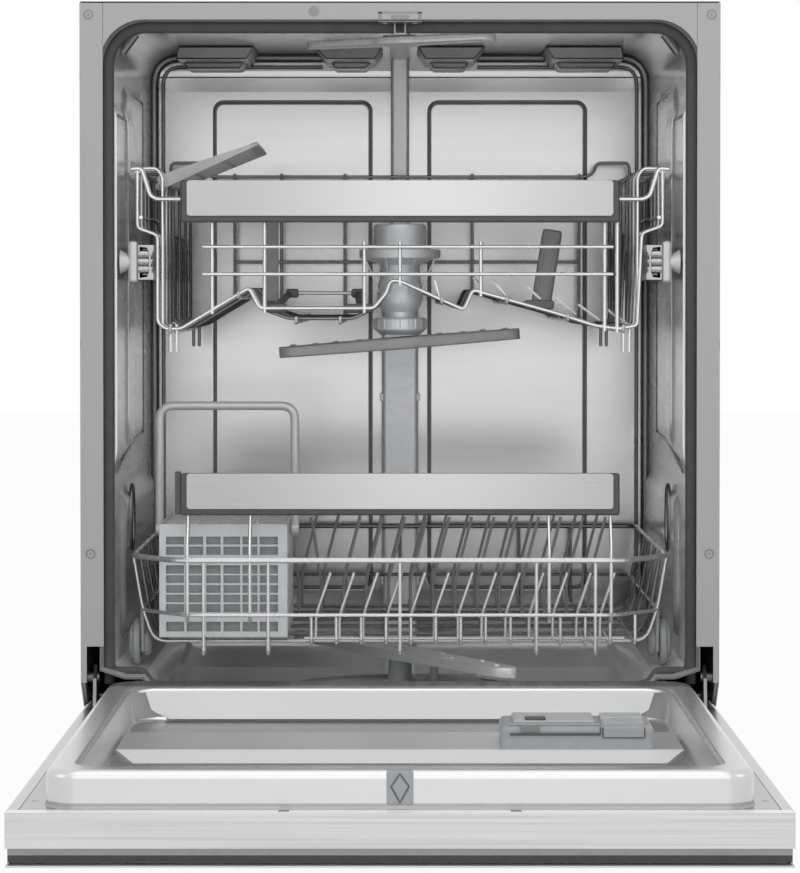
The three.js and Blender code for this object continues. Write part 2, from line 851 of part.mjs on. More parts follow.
// Feed pipe from the sump along the floor, up the back wall and to the ceiling arm.
function makeFeedPipe() {
  const back = tubBack - gap;
  const front = back - pipeDepth;
  const ceiling = tubCeiling - gap;
  const floorTop = basinRearFloor + gap + pipeFloorHeight;
  const wide = [-pipeHalfWide, pipeHalfWide];
  const slim = [-pipeHalfSlim, pipeHalfSlim];
  const pieces = [
    block(wide, [sumpY + sumpHoleRadius, back], [basinRearFloor + gap, floorTop]),
    block(wide, [front, back], [basinRearFloor + gap, pipeStepZ]),
    block(slim, [front, back], [pipeStepZ - overrun, ceiling]),
    block(slim, [ceilingArmY, back], [ceiling - pipeCeilingHeight, ceiling]),
    bar("z", armHubRadius / 2, [ceilingArmZ + armThick + gap, ceiling], [0, ceilingArmY], armSides),
    bar("z", armBore - gap * 2, [ceilingArmZ - gap, ceiling], [0, ceilingArmY], armSides),
    bar(
      "y",
      pipePortRadius,
      [front - pipePortLength, front + overrun],
      [0, ductBottom + ductHeight / 2],
      armSides,
    ),
  ];
  place("feed_pipe", "greyPlastic", join(pieces));
}

// A spray arm: a tapered blade each way from a bored hub.
function makeSprayArm(name, [x, y], z, half, yaw) {
  const blade = outline([
    [-half, -armTipWidth / 2],
    [0, -armRootWidth / 2],
    [half, -armTipWidth / 2],
    [half, armTipWidth / 2],
    [0, armRootWidth / 2],
    [-half, armTipWidth / 2],
  ]);
  const hub = bar("z", armHubRadius, [z, z + armThick], [0, 0], armSides);
  const bore = bar("z", armBore, [z - overrun, z + armThick + overrun], [0, 0], armSides);
  const arm = raised(blade, [z, z + armThick]).add(hub).subtract(bore);
  place(name, "greyPlastic", arm.rotate([0, 0, yaw]).translate([x, y, 0]));
}

// Latch strike: a plate under the crossmember with a tongue for the door's catch.
function makeStrike() {
  const top = collarTop - gap;
  const plate = block(
    [-catchHalfWidth * 2, catchHalfWidth * 2],
    [sheet + gap, gasketFace - gap],
    [top - doorSkin, top],
  );
  const tongueHalf = catchSlotHalf - overrun;
  const tongueY = [hingeY - (plateauTop - doorInner) / 2, hingeY - linerWall];
  const tongue = block(
    [-tongueHalf, tongueHalf],
    tongueY,
    [top - strikeTongue, top],
  );
  place("latch_strike", "darkPlastic", plate.add(tongue));
}

// Fixed rail with its end caps and the studs that seat on the tub's side wall.
function makeRail(name, side) {
  const bossYs = [railFront + railBossInset, railRear - railBossInset];
  const rail = block(
    sideRange(side, railX, railX + railThick),
    [railFront, railRear],
    [railZ, railZ + railHeight],
  );
  const studs = bossYs.map((y) =>
    bar(
      "x",
      railBossRadius,
      sideRange(side, railX + railThick - overrun, tubHalfWidth - gap),
      [y, railZ + railHeight / 2],
      armSides,
    ),
  );
  place(name, "darkPlastic", join([rail, ...studs]));
}

// Hinge bracket beside the collar, with the pin that the door arm turns on.
function makeHingeBracket(name, side) {
  const plate = sideways(
    outline([
      [sheet + gap, bracketTop],
      [sheet + gap, flangeFoot],
      [hingeY, bracketFoot],
      [bracketBack, bracketFoot],
      [bracketBack, bracketTop],
    ]),
    sideRange(side, bracketX, bracketX + bracketPlate),
  );
  const pin = bar(
    "x",
    hingePin,
    sideRange(side, armX - armPlate - overrun, bracketX + overrun),
    [hingeY, hingeZ],
    armSides,
  );
  const foot = block(
    sideRange(side, tubHalfWidth, bracketX + overrun),
    [toeNotchDepth, bracketBack],
    [bracketFoot, bracketFoot + bracketPlate],
  );
  place(name, "darkPlastic", join([plate, pin, foot]));
}

const door = new THREE.Group();
part.add(door);

// Outer skin: a shallow tray with a rolled edge round the inner plane.
function makeDoorOuter() {
  const yRange = [-doorReach + capDepth + gap, doorTail];
  const outer = block([-halfWidth, halfWidth], yRange, [doorOuter, doorInner]);
  const inner = block(
    [-halfWidth + doorSkin, halfWidth - doorSkin],
    [yRange[0] - overrun, doorTail - doorSkin],
    [doorOuter + doorSkin, doorInner - doorSkin],
  );
  const window = block(
    [-halfWidth + doorReturn, halfWidth - doorReturn],
    [yRange[0] - overrun, doorTail - doorSkin],
    [doorInner - doorSkin - overrun, doorInner + overrun],
  );
  const lip = block([-halfWidth + gap, halfWidth - gap], [-doorReach, yRange[0] + overrun], [
    doorOuter,
    doorOuter + doorSkin,
  ]);
  const displayHole = block(
    [-displayHalfWidth - gap, displayHalfWidth + gap],
    [-controlNear - gap, -controlFar + gap],
    [doorOuter - overrun, doorOuter + doorSkin + overrun],
  );
  const buttonHoles = [-buttonX, buttonX].map((x) =>
    bar(
      "z",
      buttonRadius + buttonClearance,
      [doorOuter - overrun, doorOuter + doorSkin + overrun],
      [x, -(controlNear + controlFar) / 2],
      buttonSides,
    ),
  );
  const shell = cut(outer, [inner, window]).add(lip);
  place("door_outer_panel", "brushedSteel", cut(shell, [displayHole, ...buttonHoles]), door);
}

// Steel cap on the door's upper edge, with the finger groove below it.
function makeDoorCap() {
  const yRange = [-doorReach, -doorReach + capDepth];
  const cap = block([-halfWidth, halfWidth], yRange, [doorInner - capHeight, doorInner]);
  const room = block(
    [-halfWidth + capWall, halfWidth - capWall],
    [-doorReach + capWall, -doorReach + capDepth + overrun],
    [doorInner - capHeight + capWall, doorInner - capWall],
  );
  const grooveBack = block(
    [-halfWidth + kickSideGap, halfWidth - kickSideGap],
    [-doorReach + grooveDepth, -doorReach + capDepth],
    [doorInner - capHeight - grooveHeight, doorInner - capHeight + capWall],
  );
  place("door_top_cap", "brushedSteel", cap.subtract(room).add(grooveBack), door);
}

// Display and the two push buttons, flush with the door's front.
function makeControls() {
  const controlY = -(controlNear + controlFar) / 2;
  const display = block(
    [-displayHalfWidth, displayHalfWidth],
    [-controlNear, -controlFar],
    [doorOuter, doorOuter + controlDepth - overrun],
  );
  place("display_panel", "blackGloss", display, door);
  const names = { power_button: -buttonX, start_button: buttonX };
  Object.entries(names).forEach(([name, x]) => {
    const button = bar(
      "z",
      buttonRadius,
      [doorOuter, doorOuter + controlDepth],
      [x, controlY],
      buttonSides,
    );
    place(name, "blackGloss", button, door);
  });
}

function recess(spread) {
  const half = recessHalfTop + spread;
  const floorHalf = recessHalfFloor + spread;
  return tapered(
    [
      [-floorHalf, floorHalf],
      [-recessFrontFloor - spread, -recessBackFloor + spread],
      recessFloor - spread,
    ],
    [[-half, half], [-recessFrontTop - spread, -recessBackTop + spread], plateauTop + gap],
  );
}

function plateau(inset, zRange) {
  const shape = roundedOutline(
    [-plateauHalfWidth + inset, plateauHalfWidth - inset],
    [-plateauFront + inset, plateauBack - inset],
    plateauCorner - inset,
    true,
  );
  return raised(shape, zRange);
}

// Inner liner: flat plate with the raised rim, its sloped recess and a low platform.
function makeDoorLiner() {
  const half = halfWidth - doorReturn - gap;
  const plate = block(
    [-half, half],
    [-doorReach + capDepth + gap, doorTail - doorSkin - gap],
    [doorInner - linerPlate, doorInner],
  );
  const raisedRim = plateau(0, [doorInner - linerPlate, plateauTop]);
  const under = plateau(linerWall, [doorInner - linerPlate - overrun, plateauTop - linerWall]);
  const platformShape = block(
    [-recessHalfFloor, recessHalfFloor],
    [-platformFront, -platformBack],
    [recessFloor - linerWall, recessFloor + platformHeight],
  );
  const dish = recess(linerWall);
  const shell = cut(join([plate, raisedRim]), [under.subtract(dish), recess(0)]);
  const cutouts = [
    block(
      [dispenserLeft + dispenserFlange - gap, dispenserRight - dispenserFlange + gap],
      [-dispenserFront + dispenserFlange - gap, -dispenserBack - dispenserFlange + gap],
      [recessFloor - linerWall - overrun * 2, plateauTop],
    ),
    block(
      [-catchHalfWidth - gap, catchHalfWidth + gap],
      [-plateauFront - overrun, -plateauFront + catchDepth + gap],
      [catchFoot - gap, plateauTop + overrun],
    ),
    ...Object.values(sides).map((side) =>
      block(
        sideRange(side, armX - armPlate - gap, half + overrun),
        [hingeY - armReach - gap, doorTail],
        [doorInner - linerPlate - overrun, doorInner + overrun],
      ),
    ),
  ];
  place("door_inner_liner", "polishedSteel", cut(shell.add(platformShape), cutouts), door);
}

// Latch catch in the near face of the rim, open above for the strike's tongue.
function makeCatch() {
  const body = block(
    [-catchHalfWidth, catchHalfWidth],
    [-plateauFront, -plateauFront + catchDepth],
    [catchFoot, plateauTop],
  );
  const slot = block(
    [-catchSlotHalf, catchSlotHalf],
    [-plateauFront - overrun, -plateauFront + catchSlotDepth],
    [catchFoot + linerWall, plateauTop + overrun],
  );
  place("latch_catch", "greyPlastic", body.subtract(slot), door);
}

// Detergent dispenser: flanged tub with a cup under each lid.
function makeDispenser() {
  const seat = recessFloor + platformHeight + gap;
  const flange = block(
    [dispenserLeft, dispenserRight],
    [-dispenserFront, -dispenserBack],
    [seat, dispenserTop],
  );
  const body = block(
    [dispenserLeft + dispenserFlange, dispenserRight - dispenserFlange],
    [-dispenserFront + dispenserFlange, -dispenserBack - dispenserFlange],
    [dispenserTop - dispenserDepth, dispenserTop],
  );
  const cup = block(
    [lidLeft + gap * 2, lidRight - gap * 2],
    [-dispenserFront + lidInset + gap * 2, -dispenserBack - lidInset - gap * 2],
    [dispenserTop - dispenserDepth + dispenserCupFloor, dispenserTop + overrun],
  );
  const rinseCup = block(
    [rinseLeft + gap * 2, rinseRight - gap * 2],
    [-dispenserBack - lidInset - rinseDepth, -dispenserBack - lidInset - gap * 2],
    [dispenserTop - dispenserDepth + dispenserCupFloor, dispenserTop + overrun],
  );
  place("dispenser_body", "palePlastic", cut(flange.add(body), [cup, rinseCup]), door);
  const lidRange = [dispenserTop + gap, dispenserTop + gap + lidThick];
  const lid = block([lidLeft, lidRight], [-dispenserFront + lidInset, -dispenserBack - lidInset], lidRange);
  place("dispenser_lid", "palePlastic", lid, door);
  const rinseLid = block(
    [rinseLeft, rinseRight],
    [-dispenserBack - lidInset - rinseDepth - overrun, -dispenserBack - lidInset],
    lidRange,
  );
  place("rinse_aid_lid", "palePlastic", rinseLid, door);
}

// Door arm: a steel plate from inside the door up to the hinge pin.
function makeDoorArm(name, side) {
  const arm = sideways(
    outline([
      [hingeY - armReach, armFoot],
      [doorTail - armReach, armFoot],
      [hingeY + armHalf, hingeZ],
      [hingeY, hingeZ + armHalf],
      [hingeY - armHalf, hingeZ],
    ]),
    sideRange(side, armX - armPlate, armX),
  );
  const bore = bar(
    "x",
    hingePin + hingeClearance,
    sideRange(side, armX - armPlate - overrun, armX + overrun),
    [hingeY, hingeZ],
    armSides,
  );
  place(name, "cabinetSteel", arm.subtract(bore), door);
}

// A steel-faced rack handle: dark backing and the plate in front of it.
function makeHandle(prefix, y, z, group) {
  const zTop = z + facingHeight;
  const backing = across(
    roundedOutline(
      [-handleHalf - handleBorder, handleHalf + handleBorder],
      [z - handleBorder, zTop],
      handleRadius,
      true,
    ),
    [y + facingThick + gap, y + facingThick + backingThick],
  );
  place(prefix + "_handle", "darkPlastic", backing, group);
  const facing = block([-handleHalf, handleHalf], [y, y + facingThick], [z, zTop]);
  place(prefix + "_facing", "brushedSteel", facing, group);
}

const upperRack = new THREE.Group();
const lowerRack = new THREE.Group();
part.add(upperRack, lowerRack);

const upperHoop = upperHoopShares.map(([across, up]) => [
  across * upperHalf,
  upperRim - (1 - up) * upperDepth,
]);
const upperHoopYs = upperHoopYShares.map((share) => upperFront + share * (upperRear - upperFront));

function hoopHeight(x) {
  const index = upperHoop.findIndex(([px], i) => i > 0 && px >= x && upperHoop[i - 1][0] <= x);
  const [[x0, z0], [x1, z1]] = [upperHoop[index - 1], upperHoop[index]];
  return z0 + ((z1 - z0) * (x - x0)) / (x1 - x0 || 1);
}

// Upper rack: hoops across, runs from front to back, a rim and the front wires.
function makeUpperRack() {
  const hoops = upperHoopYs.map((y) => bentWire(upperHoop.map(([x, z]) => [x, y, z]), wire));
  const runs = upperRunShares.map((share) => {
    const x = share * upperHalf;
    const z = hoopHeight(x) - weldShare * wire;
    return bentWire([[x, upperFront - wire, z], [x, upperRear + wire, z]], wire);
  });
  const loop = (z, half, front) => [
    [-half, front, z],
    [half, front, z],
    [half, upperRear, z],
    [-half, upperRear, z],
    [-half, front, z],
  ];
  const rims = [
    bentWire(loop(upperRim, upperHalf, upperFront), rimWire),
    bentWire(loop(upperSideRail, upperHalf - weldShare * wire, upperFront), wire),
  ];
  const frontY = upperFront - wire * (0.5 + weldShare);
  const fronts = frontWireDrops.map((drop) =>
    bentWire(frontWireShares.map((share) => [share * upperHalf, frontY, upperRim - drop]), wire),
  );
  const uprights = frontUprightShares.map((share) => share * upperHalf).map((x) =>
    bentWire([[x, upperFront - wire / 2, hoopHeight(x)], [x, upperFront - wire / 2, upperRim]], wire),
  );
  const clip = block(
    [-ductHalf / 2, ductHalf / 2],
    [upperHoopYs[4] - wire, upperHoopYs[4] + wire],
    [hoopHeight(0) - wire, ductBottom - gap],
  );
  place("upper_rack_basket", "coatedWire", join([...hoops, ...runs, ...rims, ...fronts, ...uprights, clip]),
    upperRack);
}

// Moving profile of a runner: a channel open towards the rack.
function makeSlide(name, side) {
  const outerX = railX - gap;
  const outer = block(
    sideRange(side, slideX, outerX),
    [railFront, railRear],
    [railZ, railZ + railHeight],
  );
  const room = block(
    sideRange(side, slideX - overrun, outerX - slideWall),
    [railFront + slideWall, railRear - slideWall],
    [railZ + slideLip, railZ + railHeight - slideLip],
  );
  place(name, "chromedWire", outer.subtract(room), upperRack);
}

// Height adjuster: a bracket that stands on the runner between two hoops.
function makeAdjuster(name, side) {
  const inner = slideX + adjusterThick / 2;
  const solid = block(
    sideRange(side, inner, inner + adjusterThick),
    [adjusterFront, adjusterRear],
    [railZ + railHeight + gap, adjusterTop],
  );
  place(name, "darkPlastic", solid, upperRack);
}

// Cup shelf: slotted plate hinged on the rack's left side, stored tilted up.
function makeCupShelf() {
  const pivotX = -slideX - adjusterThick / 2 + shelfBarrel + gap;
  const plate = block([0, shelfWidth], [shelfFront, shelfRear], [0, shelfThick]);
  const barrel = bar("y", shelfBarrel, [shelfFront, shelfRear], [0, 0], armSides);
  const pitch = (shelfRear - shelfFront - shelfBar) / shelfSlots;
  const slots = Array.from({ length: shelfSlots }, (_, i) =>
    block(
      [shelfBar * 2, shelfWidth - shelfBar * 2],
      [shelfFront + shelfBar + i * pitch, shelfFront + (i + 1) * pitch],
      [-overrun, shelfThick + overrun],
    ),
  );
  const solid = cut(plate, slots).add(barrel).rotate([0, -shelfTilt, 0]).translate([pivotX, 0, shelfZ]);
  place("cup_shelf", "palePlastic", solid, upperRack);
}

// Fold lever on the right side of the rack floor.
function makeFlap() {
  const plate = block(
    [-flapWidth / 2, flapWidth / 2],
    [flapY, flapY + flapThick],
    [0, flapHeight],
  );
  const x = flapXShare * upperHalf;
  const z = hoopHeight(x) - weldShare * wire + wireFace + gap * 2;
  const solid = plate.rotate([0, flapTilt, 0]).translate([x, 0, z]);
  place("folding_flap", "darkPlastic", solid, upperRack);
}

// Spray manifold: a duct to the feed pipe and the stem that carries the middle arm.
function makeManifold() {
  const at = [0, hubY];
  const front = tubBack - gap - pipeDepth - pipePortLength;
  const armTop = middleArmZ + armThick + gap;
  const pieces = [
    block([-ductHalf, ductHalf], [hubY, front - gap], [ductBottom, ductBottom + ductHeight]),
    bar("z", manifoldRadius, [manifoldFlangeZ, manifoldTop], at, pumpSides),
    bar("z", manifoldFlange, [manifoldFlangeZ, manifoldFlangeZ + manifoldFlangeHeight], at, pumpSides),
    bar("z", manifoldWaist, [armTop, manifoldFlangeZ + overrun], at, pumpSides),
    bar("z", manifoldNut, [manifoldNutZ, manifoldNutZ + manifoldNutHeight], at, pumpSides),
    bar("z", manifoldPin, [manifoldPinEnd, armTop + overrun], at, armSides),
  ];
  place("spray_manifold", "greyPlastic", join(pieces), upperRack);
}

// Outline of the lower rack's rails, seen from above, at a height and inset.
function railLoop(z, inset) {
  const half = lowerHalf - inset;
  const frontHalf = lowerHalf - lowerFrontInset - inset;
  return [
    [-frontHalf, lowerFront, z],
    [frontHalf, lowerFront, z],
    [half, lowerShoulder, z],
    [half, lowerRear, z],
    [-half, lowerRear, z],
    [-half, lowerShoulder, z],
    [-frontHalf, lowerFront, z],
  ];
}

// Lower rack: two rails, runs and crosses under them, wheel plates with axles.
function makeLowerRack() {
  const floorFront = lowerFront + rimWire;
  const runXs = lowerRunShares.map((share) => share * lowerHalf);
  const runs = runXs.map((x) =>
    bentWire(
      [
        [x, lowerFront, lowerTopRail + wire],
        [x, lowerFront, lowerFloor + wire],
        [x, floorFront + wire, lowerFloor],
        [x, lowerRear - wire, lowerFloor],
        [x, lowerRear, lowerFloor + wire],
        [x, lowerRear, lowerTopRail + wire],
      ],
      wire,
    ),
  );
  const crossZ = lowerFloor - weldShare * wire;
  const crossYs = Array.from(
    { length: lowerCrossCount },
    (_, i) => lowerShoulder + lowerCrossInset + i * lowerCrossPitch,
  );
  const crosses = crossYs.map((y) =>
    bentWire(
      [
        [-lowerHalf, y, lowerTopRail + wire],
        [-lowerMidHalf, y, lowerMidRail],
        [-lowerFootHalf, y, crossZ],
        [lowerFootHalf, y, crossZ],
        [lowerMidHalf, y, lowerMidRail],
        [lowerHalf, y, lowerTopRail + wire],
      ],
      wire,
    ),
  );
  const rails = [
    bentWire(railLoop(lowerTopRail, 0), rimWire),
    bentWire(railLoop(lowerMidRail, lowerHalf - lowerMidHalf), wire),
  ];
  const hangerY = lowerHandleY + facingThick + backingThick + gap + wire / 2;
  const hangers = [runXs[0], runXs[runXs.length - 1]].map((x) =>
    bentWire(
      [
        [x, lowerFront, lowerTopRail - wire],
        [x, lowerFront, lowerTopRail + wire],
        [x, hangerY, lowerFacingZ - handleBorder - wire],
        [x, hangerY, lowerFacingZ + facingHeight],
      ],
      wire,
    ),
  );
  const carriers = Object.values(sides).flatMap((side) =>
    wheelYs.flatMap((y) => [
      block(
        sideRange(side, wheelX - gap - wheelPlate, wheelX - gap),
        [y - wheelPlateHalf, y + wheelPlateHalf],
        [wheelZ - wheelPlateHalf / 2, lowerMidRail + wire],
      ),
      bar("x", axleRadius, sideRange(side, wheelX - wheelPlate, wheelX + wheelThick), [y, wheelZ], armSides),
    ]),
  );
  place("lower_rack_basket", "coatedWire", join([...rails, ...runs, ...crosses, ...hangers, ...carriers,
    tineRow(tineRows.front, tineLeftShare, tineFrontTop, lowerFloor)]), lowerRack);
}

// A row of leaning tines on a rod that runs across the rack.
function tineRow(y, leftShare, top, rodZ) {
  const [left, right] = [leftShare, tineRightShare].map((share) => share * lowerHalf);
  const count = Math.floor((right - left) / tineSpacing);
  const bendZ = rodZ + (top - rodZ) * tineBendShare;
  const tines = Array.from({ length: count }, (_, i) => {
    const x = left + (i + 0.5) * tineSpacing;
    return bentWire([[x, y, rodZ - fineWire / 2], [x, y, bendZ], [x + tineLean, y, top]], fineWire);
  });
  return join([bentWire([[left, y, rodZ], [right, y, rodZ]], fineWire), ...tines]);
}

function makeWheel(name, side, y) {
  const range = sideRange(side, wheelX, wheelX + wheelThick);
  const wheel = bar("x", wheelRadius, range, [y, wheelZ], wheelSides);
  const bore = bar(
    "x",
    axleRadius + axleClearance,
    sideRange(side, wheelX - overrun, wheelX + wheelThick + overrun),
    [y, wheelZ],
    armSides,
  );
  place(name, "greyPlastic", wheel.subtract(bore), lowerRack);
}

// A row of openings between equal bars along a span.
function slotRanges(from, to, count) {
  const pitch = (to - from - cutleryBar) / count;
  return Array.from({ length: count }, (_, i) => [from + cutleryBar + i * pitch, from + (i + 1) * pitch]);
}

// Cutlery basket: walls cut into a grid, open above.
function makeCutlery() {
  const outer = block([cutleryLeft, cutleryRight], [cutleryFront, cutleryBack], [cutleryBottom, cutleryTop]);
  const room = block(
    [cutleryLeft + cutleryWall, cutleryRight - cutleryWall],
    [cutleryFront + cutleryWall, cutleryBack - cutleryWall],
    [cutleryBottom + cutleryWall, cutleryTop + overrun],
  );
  const heights = slotRanges(cutleryBottom + cutleryBar, cutleryTop - cutleryRim, cutleryRows);
  const columns = slotRanges(cutleryLeft, cutleryRight, cutleryColumns);
  const depths = slotRanges(cutleryFront, cutleryBack, cutleryColumns);
  const slots = [
    ...columns.map((x) => [x, [cutleryFront - overrun, cutleryBack + overrun]]),
    ...depths.map((y) => [[cutleryLeft - overrun, cutleryRight + overrun], y]),
  ].map(([x, y]) => block(x, y, [heights[0][0], heights[heights.length - 1][1]]));
  const bands = heights.slice(1).map(([z]) => {
    const band = [z - cutleryBar, z];
    return cut(
      block([cutleryLeft, cutleryRight], [cutleryFront, cutleryBack], band),
      [room],
    );
  });
  place("cutlery_basket", "palePlastic", join([cut(outer, [room, ...slots]), ...bands]), lowerRack);
  const bail = across(
    roundedOutline(
      [cutleryLeft - gap - bailSection, cutleryRight + gap + bailSection],
      [bailPivotZ - bailSection, bailTop],
      bailCorner,
      false,
    ),
    [bailY - bailSection / 2, bailY + bailSection / 2],
  );
  const bailRoom = block(
    [cutleryLeft - gap, cutleryRight + gap],
    [bailY - bailSection, bailY + bailSection],
    [bailPivotZ - bailSection - overrun, bailTop - bailSection],
  );
  place("cutlery_handle", "palePlastic", bail.subtract(bailRoom), lowerRack);
}

makeSidePanel("left_side_panel", sides.left);
makeSidePanel("right_side_panel", sides.right);
makeFrontFrame();
makeCovers();
makeKickPanel();
makeBaseTray();
Object.entries(footPlaces()).forEach(([name, at]) => makeFoot(name, at));
makeTub();
makeGasket();
makeSump();
makeFilters();
makePump(
  "circulation_pump",
  sides.left,
  pumpRadius,
  pumpLength,
  { radius: chamberRadius, length: chamberLength },
  { radius: pumpNeckRadius, length: pumpNeckLength },
);
makePump(
  "drain_pump",
  sides.right,
  drainRadius,
  drainLength,
  { radius: drainRadius + sumpWall, length: drainNeckLength },
  { radius: drainNeckRadius, length: drainNeckLength },
);
makeFeedPipe();
makeSprayArm("ceiling_spray_arm", [0, ceilingArmY], ceilingArmZ, ceilingArmHalf, ceilingArmYaw);
makeSprayArm("lower_spray_arm", [0, sumpY], lowerArmZ, lowerArmHalf, lowerArmYaw);
makeStrike();
Object.entries(sides).forEach(([hand, side]) => {
  makeRail("runner_rail_" + hand, side);
  makeHingeBracket("hinge_bracket_" + hand, side);
  makeDoorArm("door_arm_" + hand, side);
  makeSlide("runner_slide_" + hand, side);
  makeAdjuster("height_adjuster_" + hand, side);
  makeWheel("front_wheel_" + hand, side, wheelYs[0]);
  makeWheel("rear_wheel_" + hand, side, wheelYs[1]);
});
makeDoorOuter();
makeDoorCap();
makeDoorLiner();
makeControls();
makeCatch();
makeDispenser();
makeHandle("upper_rack", upperHandleY, upperFacingZ, upperRack);
makeUpperRack();
makeCupShelf();
makeFlap();
makeManifold();
makeSprayArm("middle_spray_arm", [0, hubY], middleArmZ, middleArmHalf, middleArmYaw);
makeHandle("lower_rack", lowerHandleY, lowerFacingZ, lowerRack);
makeLowerRack();
place("tine_row_middle", "coatedWire", tineRow(tineRows.middle, tineRearLeftShare, tineRearTop, tineRodZ),
  lowerRack);
place("tine_row_rear", "coatedWire", tineRow(tineRows.rear, tineRearLeftShare, tineRearTop, tineRodZ),
  lowerRack);
makeCutlery();

export default part;
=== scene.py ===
"""Built-under dishwasher with its door open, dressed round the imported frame.

Shapes are worked out in millimetres: x to the right, y back from the cabinet's
front flange, z up from the floor. to_frame() turns them into the frame's metres.
"""
import math

import bmesh
import bpy
import numpy as np
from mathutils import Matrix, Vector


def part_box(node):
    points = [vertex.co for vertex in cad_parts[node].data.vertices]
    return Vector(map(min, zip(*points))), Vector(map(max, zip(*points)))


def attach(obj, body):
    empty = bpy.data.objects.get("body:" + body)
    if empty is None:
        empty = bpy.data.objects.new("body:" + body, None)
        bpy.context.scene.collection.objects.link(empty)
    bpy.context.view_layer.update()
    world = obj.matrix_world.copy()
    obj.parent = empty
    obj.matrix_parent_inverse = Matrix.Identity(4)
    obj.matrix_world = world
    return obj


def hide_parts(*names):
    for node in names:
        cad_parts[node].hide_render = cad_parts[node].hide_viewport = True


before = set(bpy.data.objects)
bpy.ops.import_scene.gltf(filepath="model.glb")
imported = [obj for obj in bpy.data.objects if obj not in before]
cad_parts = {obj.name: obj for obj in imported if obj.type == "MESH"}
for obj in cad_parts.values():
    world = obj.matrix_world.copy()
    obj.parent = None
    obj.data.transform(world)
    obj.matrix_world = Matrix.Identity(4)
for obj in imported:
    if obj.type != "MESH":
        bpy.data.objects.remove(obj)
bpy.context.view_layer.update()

MM = 0.001
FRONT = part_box("left_side_panel")[0][1]
TURN = 2 * math.pi
QUARTER = math.pi / 2
SIDES = (("left", -1), ("right", 1))
X_NORMAL, Z_NORMAL = (1, 0, 0), (0, 0, 1)


def to_frame(points):
    """Millimetres from the cabinet's front to metres in the frame."""
    return np.asarray(points, float) * MM + np.array([0.0, FRONT, 0.0])


# Nodes

def math_node(tree, operation, first, second=None):
    """Result of a Math node; each value is a socket or a number."""
    made = tree.nodes.new("ShaderNodeMath")
    made.operation = operation
    for place, value in enumerate((first, second)):
        if isinstance(value, bpy.types.NodeSocket):
            tree.links.new(value, made.inputs[place])
        elif value is not None:
            made.inputs[place].default_value = value
    return made.outputs["Value"]


def range_node(tree, source, found, wanted, interpolation="LINEAR"):
    """A socket's value carried from the range it is found in to the wanted one."""
    made = tree.nodes.new("ShaderNodeMapRange")
    made.interpolation_type = interpolation
    made.inputs["From Min"].default_value, made.inputs["From Max"].default_value = found
    made.inputs["To Min"].default_value, made.inputs["To Max"].default_value = wanted
    tree.links.new(source, made.inputs["Value"])
    return made.outputs["Result"]


def object_axes(tree):
    """Sockets X, Y and Z of the place on the object."""
    place = tree.nodes.new("ShaderNodeTexCoord")
    split = tree.nodes.new("ShaderNodeSeparateXYZ")
    tree.links.new(place.outputs["Object"], split.inputs["Vector"])
    return split.outputs


# Camera and light

IMAGE_HEIGHT = 873
FOCAL_PX = 3311
HORIZON_PX = 293
EYE = (0.0, -3094.0, 548.0)
TILT = math.radians(1.25)
FILM_MM = 36
FLOOR_REACH = 12.0
FLOOR_WHITE = 0.93
# Name, place, aim, size in metres, watts
LAMPS = (
    ("front_lamp", (0.3, -3.6, 1.5), (0, 0.1, 0.45), 3.2, 22),
    ("top_lamp", (0.0, -1.3, 3.0), (0, -0.2, 0), 2.6, 18),
    ("left_lamp", (-2.6, -1.6, 1.6), (0, 0, 0.4), 1.4, 6),
    ("right_lamp", (2.6, -1.2, 1.6), (0, 0, 0.4), 1.4, 5),
)


def make_camera():
    """Camera level with the upper rack, tilted a little, the rest taken by shift."""
    data = bpy.data.cameras.new("camera")
    data.sensor_width = FILM_MM
    data.lens = FOCAL_PX * FILM_MM / IMAGE_HEIGHT
    rise_px = IMAGE_HEIGHT / 2 - HORIZON_PX - FOCAL_PX * math.tan(TILT)
    data.shift_y = -rise_px / IMAGE_HEIGHT
    data.clip_end = 50
    camera = bpy.data.objects.new("camera", data)
    camera.location = to_frame([EYE])[0]
    camera.rotation_euler = (QUARTER - TILT, 0, 0)
    bpy.context.scene.collection.objects.link(camera)
    bpy.context.scene.camera = camera


def make_lamp(name, place, aim, size, watts):
    """Soft square lamp at a place, turned towards a point."""
    data = bpy.data.lights.new(name, "AREA")
    data.size = size
    data.energy = watts
    lamp = bpy.data.objects.new(name, data)
    away = np.array(place) - np.array(aim)
    lamp.location = place
    turn_z = math.atan2(away[1], away[0]) + QUARTER
    lamp.rotation_euler = (math.acos(away[2] / np.linalg.norm(away)), 0, turn_z)
    bpy.context.scene.collection.objects.link(lamp)


def show_white(tree, share):
    """A share of plain white before a tree's output, where the camera, metal or glass looks."""
    nodes, links = tree.nodes, tree.links
    output = next(node for node in nodes if node.bl_idname.startswith("ShaderNodeOutput"))
    lit = output.inputs["Surface"].links[0].from_socket
    path = nodes.new("ShaderNodeLightPath")
    seen = path.outputs["Is Camera Ray"]
    for ray in ("Is Glossy Ray", "Is Transmission Ray"):
        seen = math_node(tree, "MAXIMUM", seen, path.outputs[ray])
    part = math_node(tree, "MULTIPLY", seen, share)
    kind = "Background" if "World" in output.bl_idname else "Emission"
    white = nodes.new("ShaderNode" + kind)
    white.inputs[0].default_value = (1, 1, 1, 1)
    mix = nodes.new("ShaderNodeMixShader")
    for place, source in enumerate((part, lit, white.outputs[0])):
        links.new(source, mix.inputs[place])
    links.new(mix.outputs[0], output.inputs["Surface"])


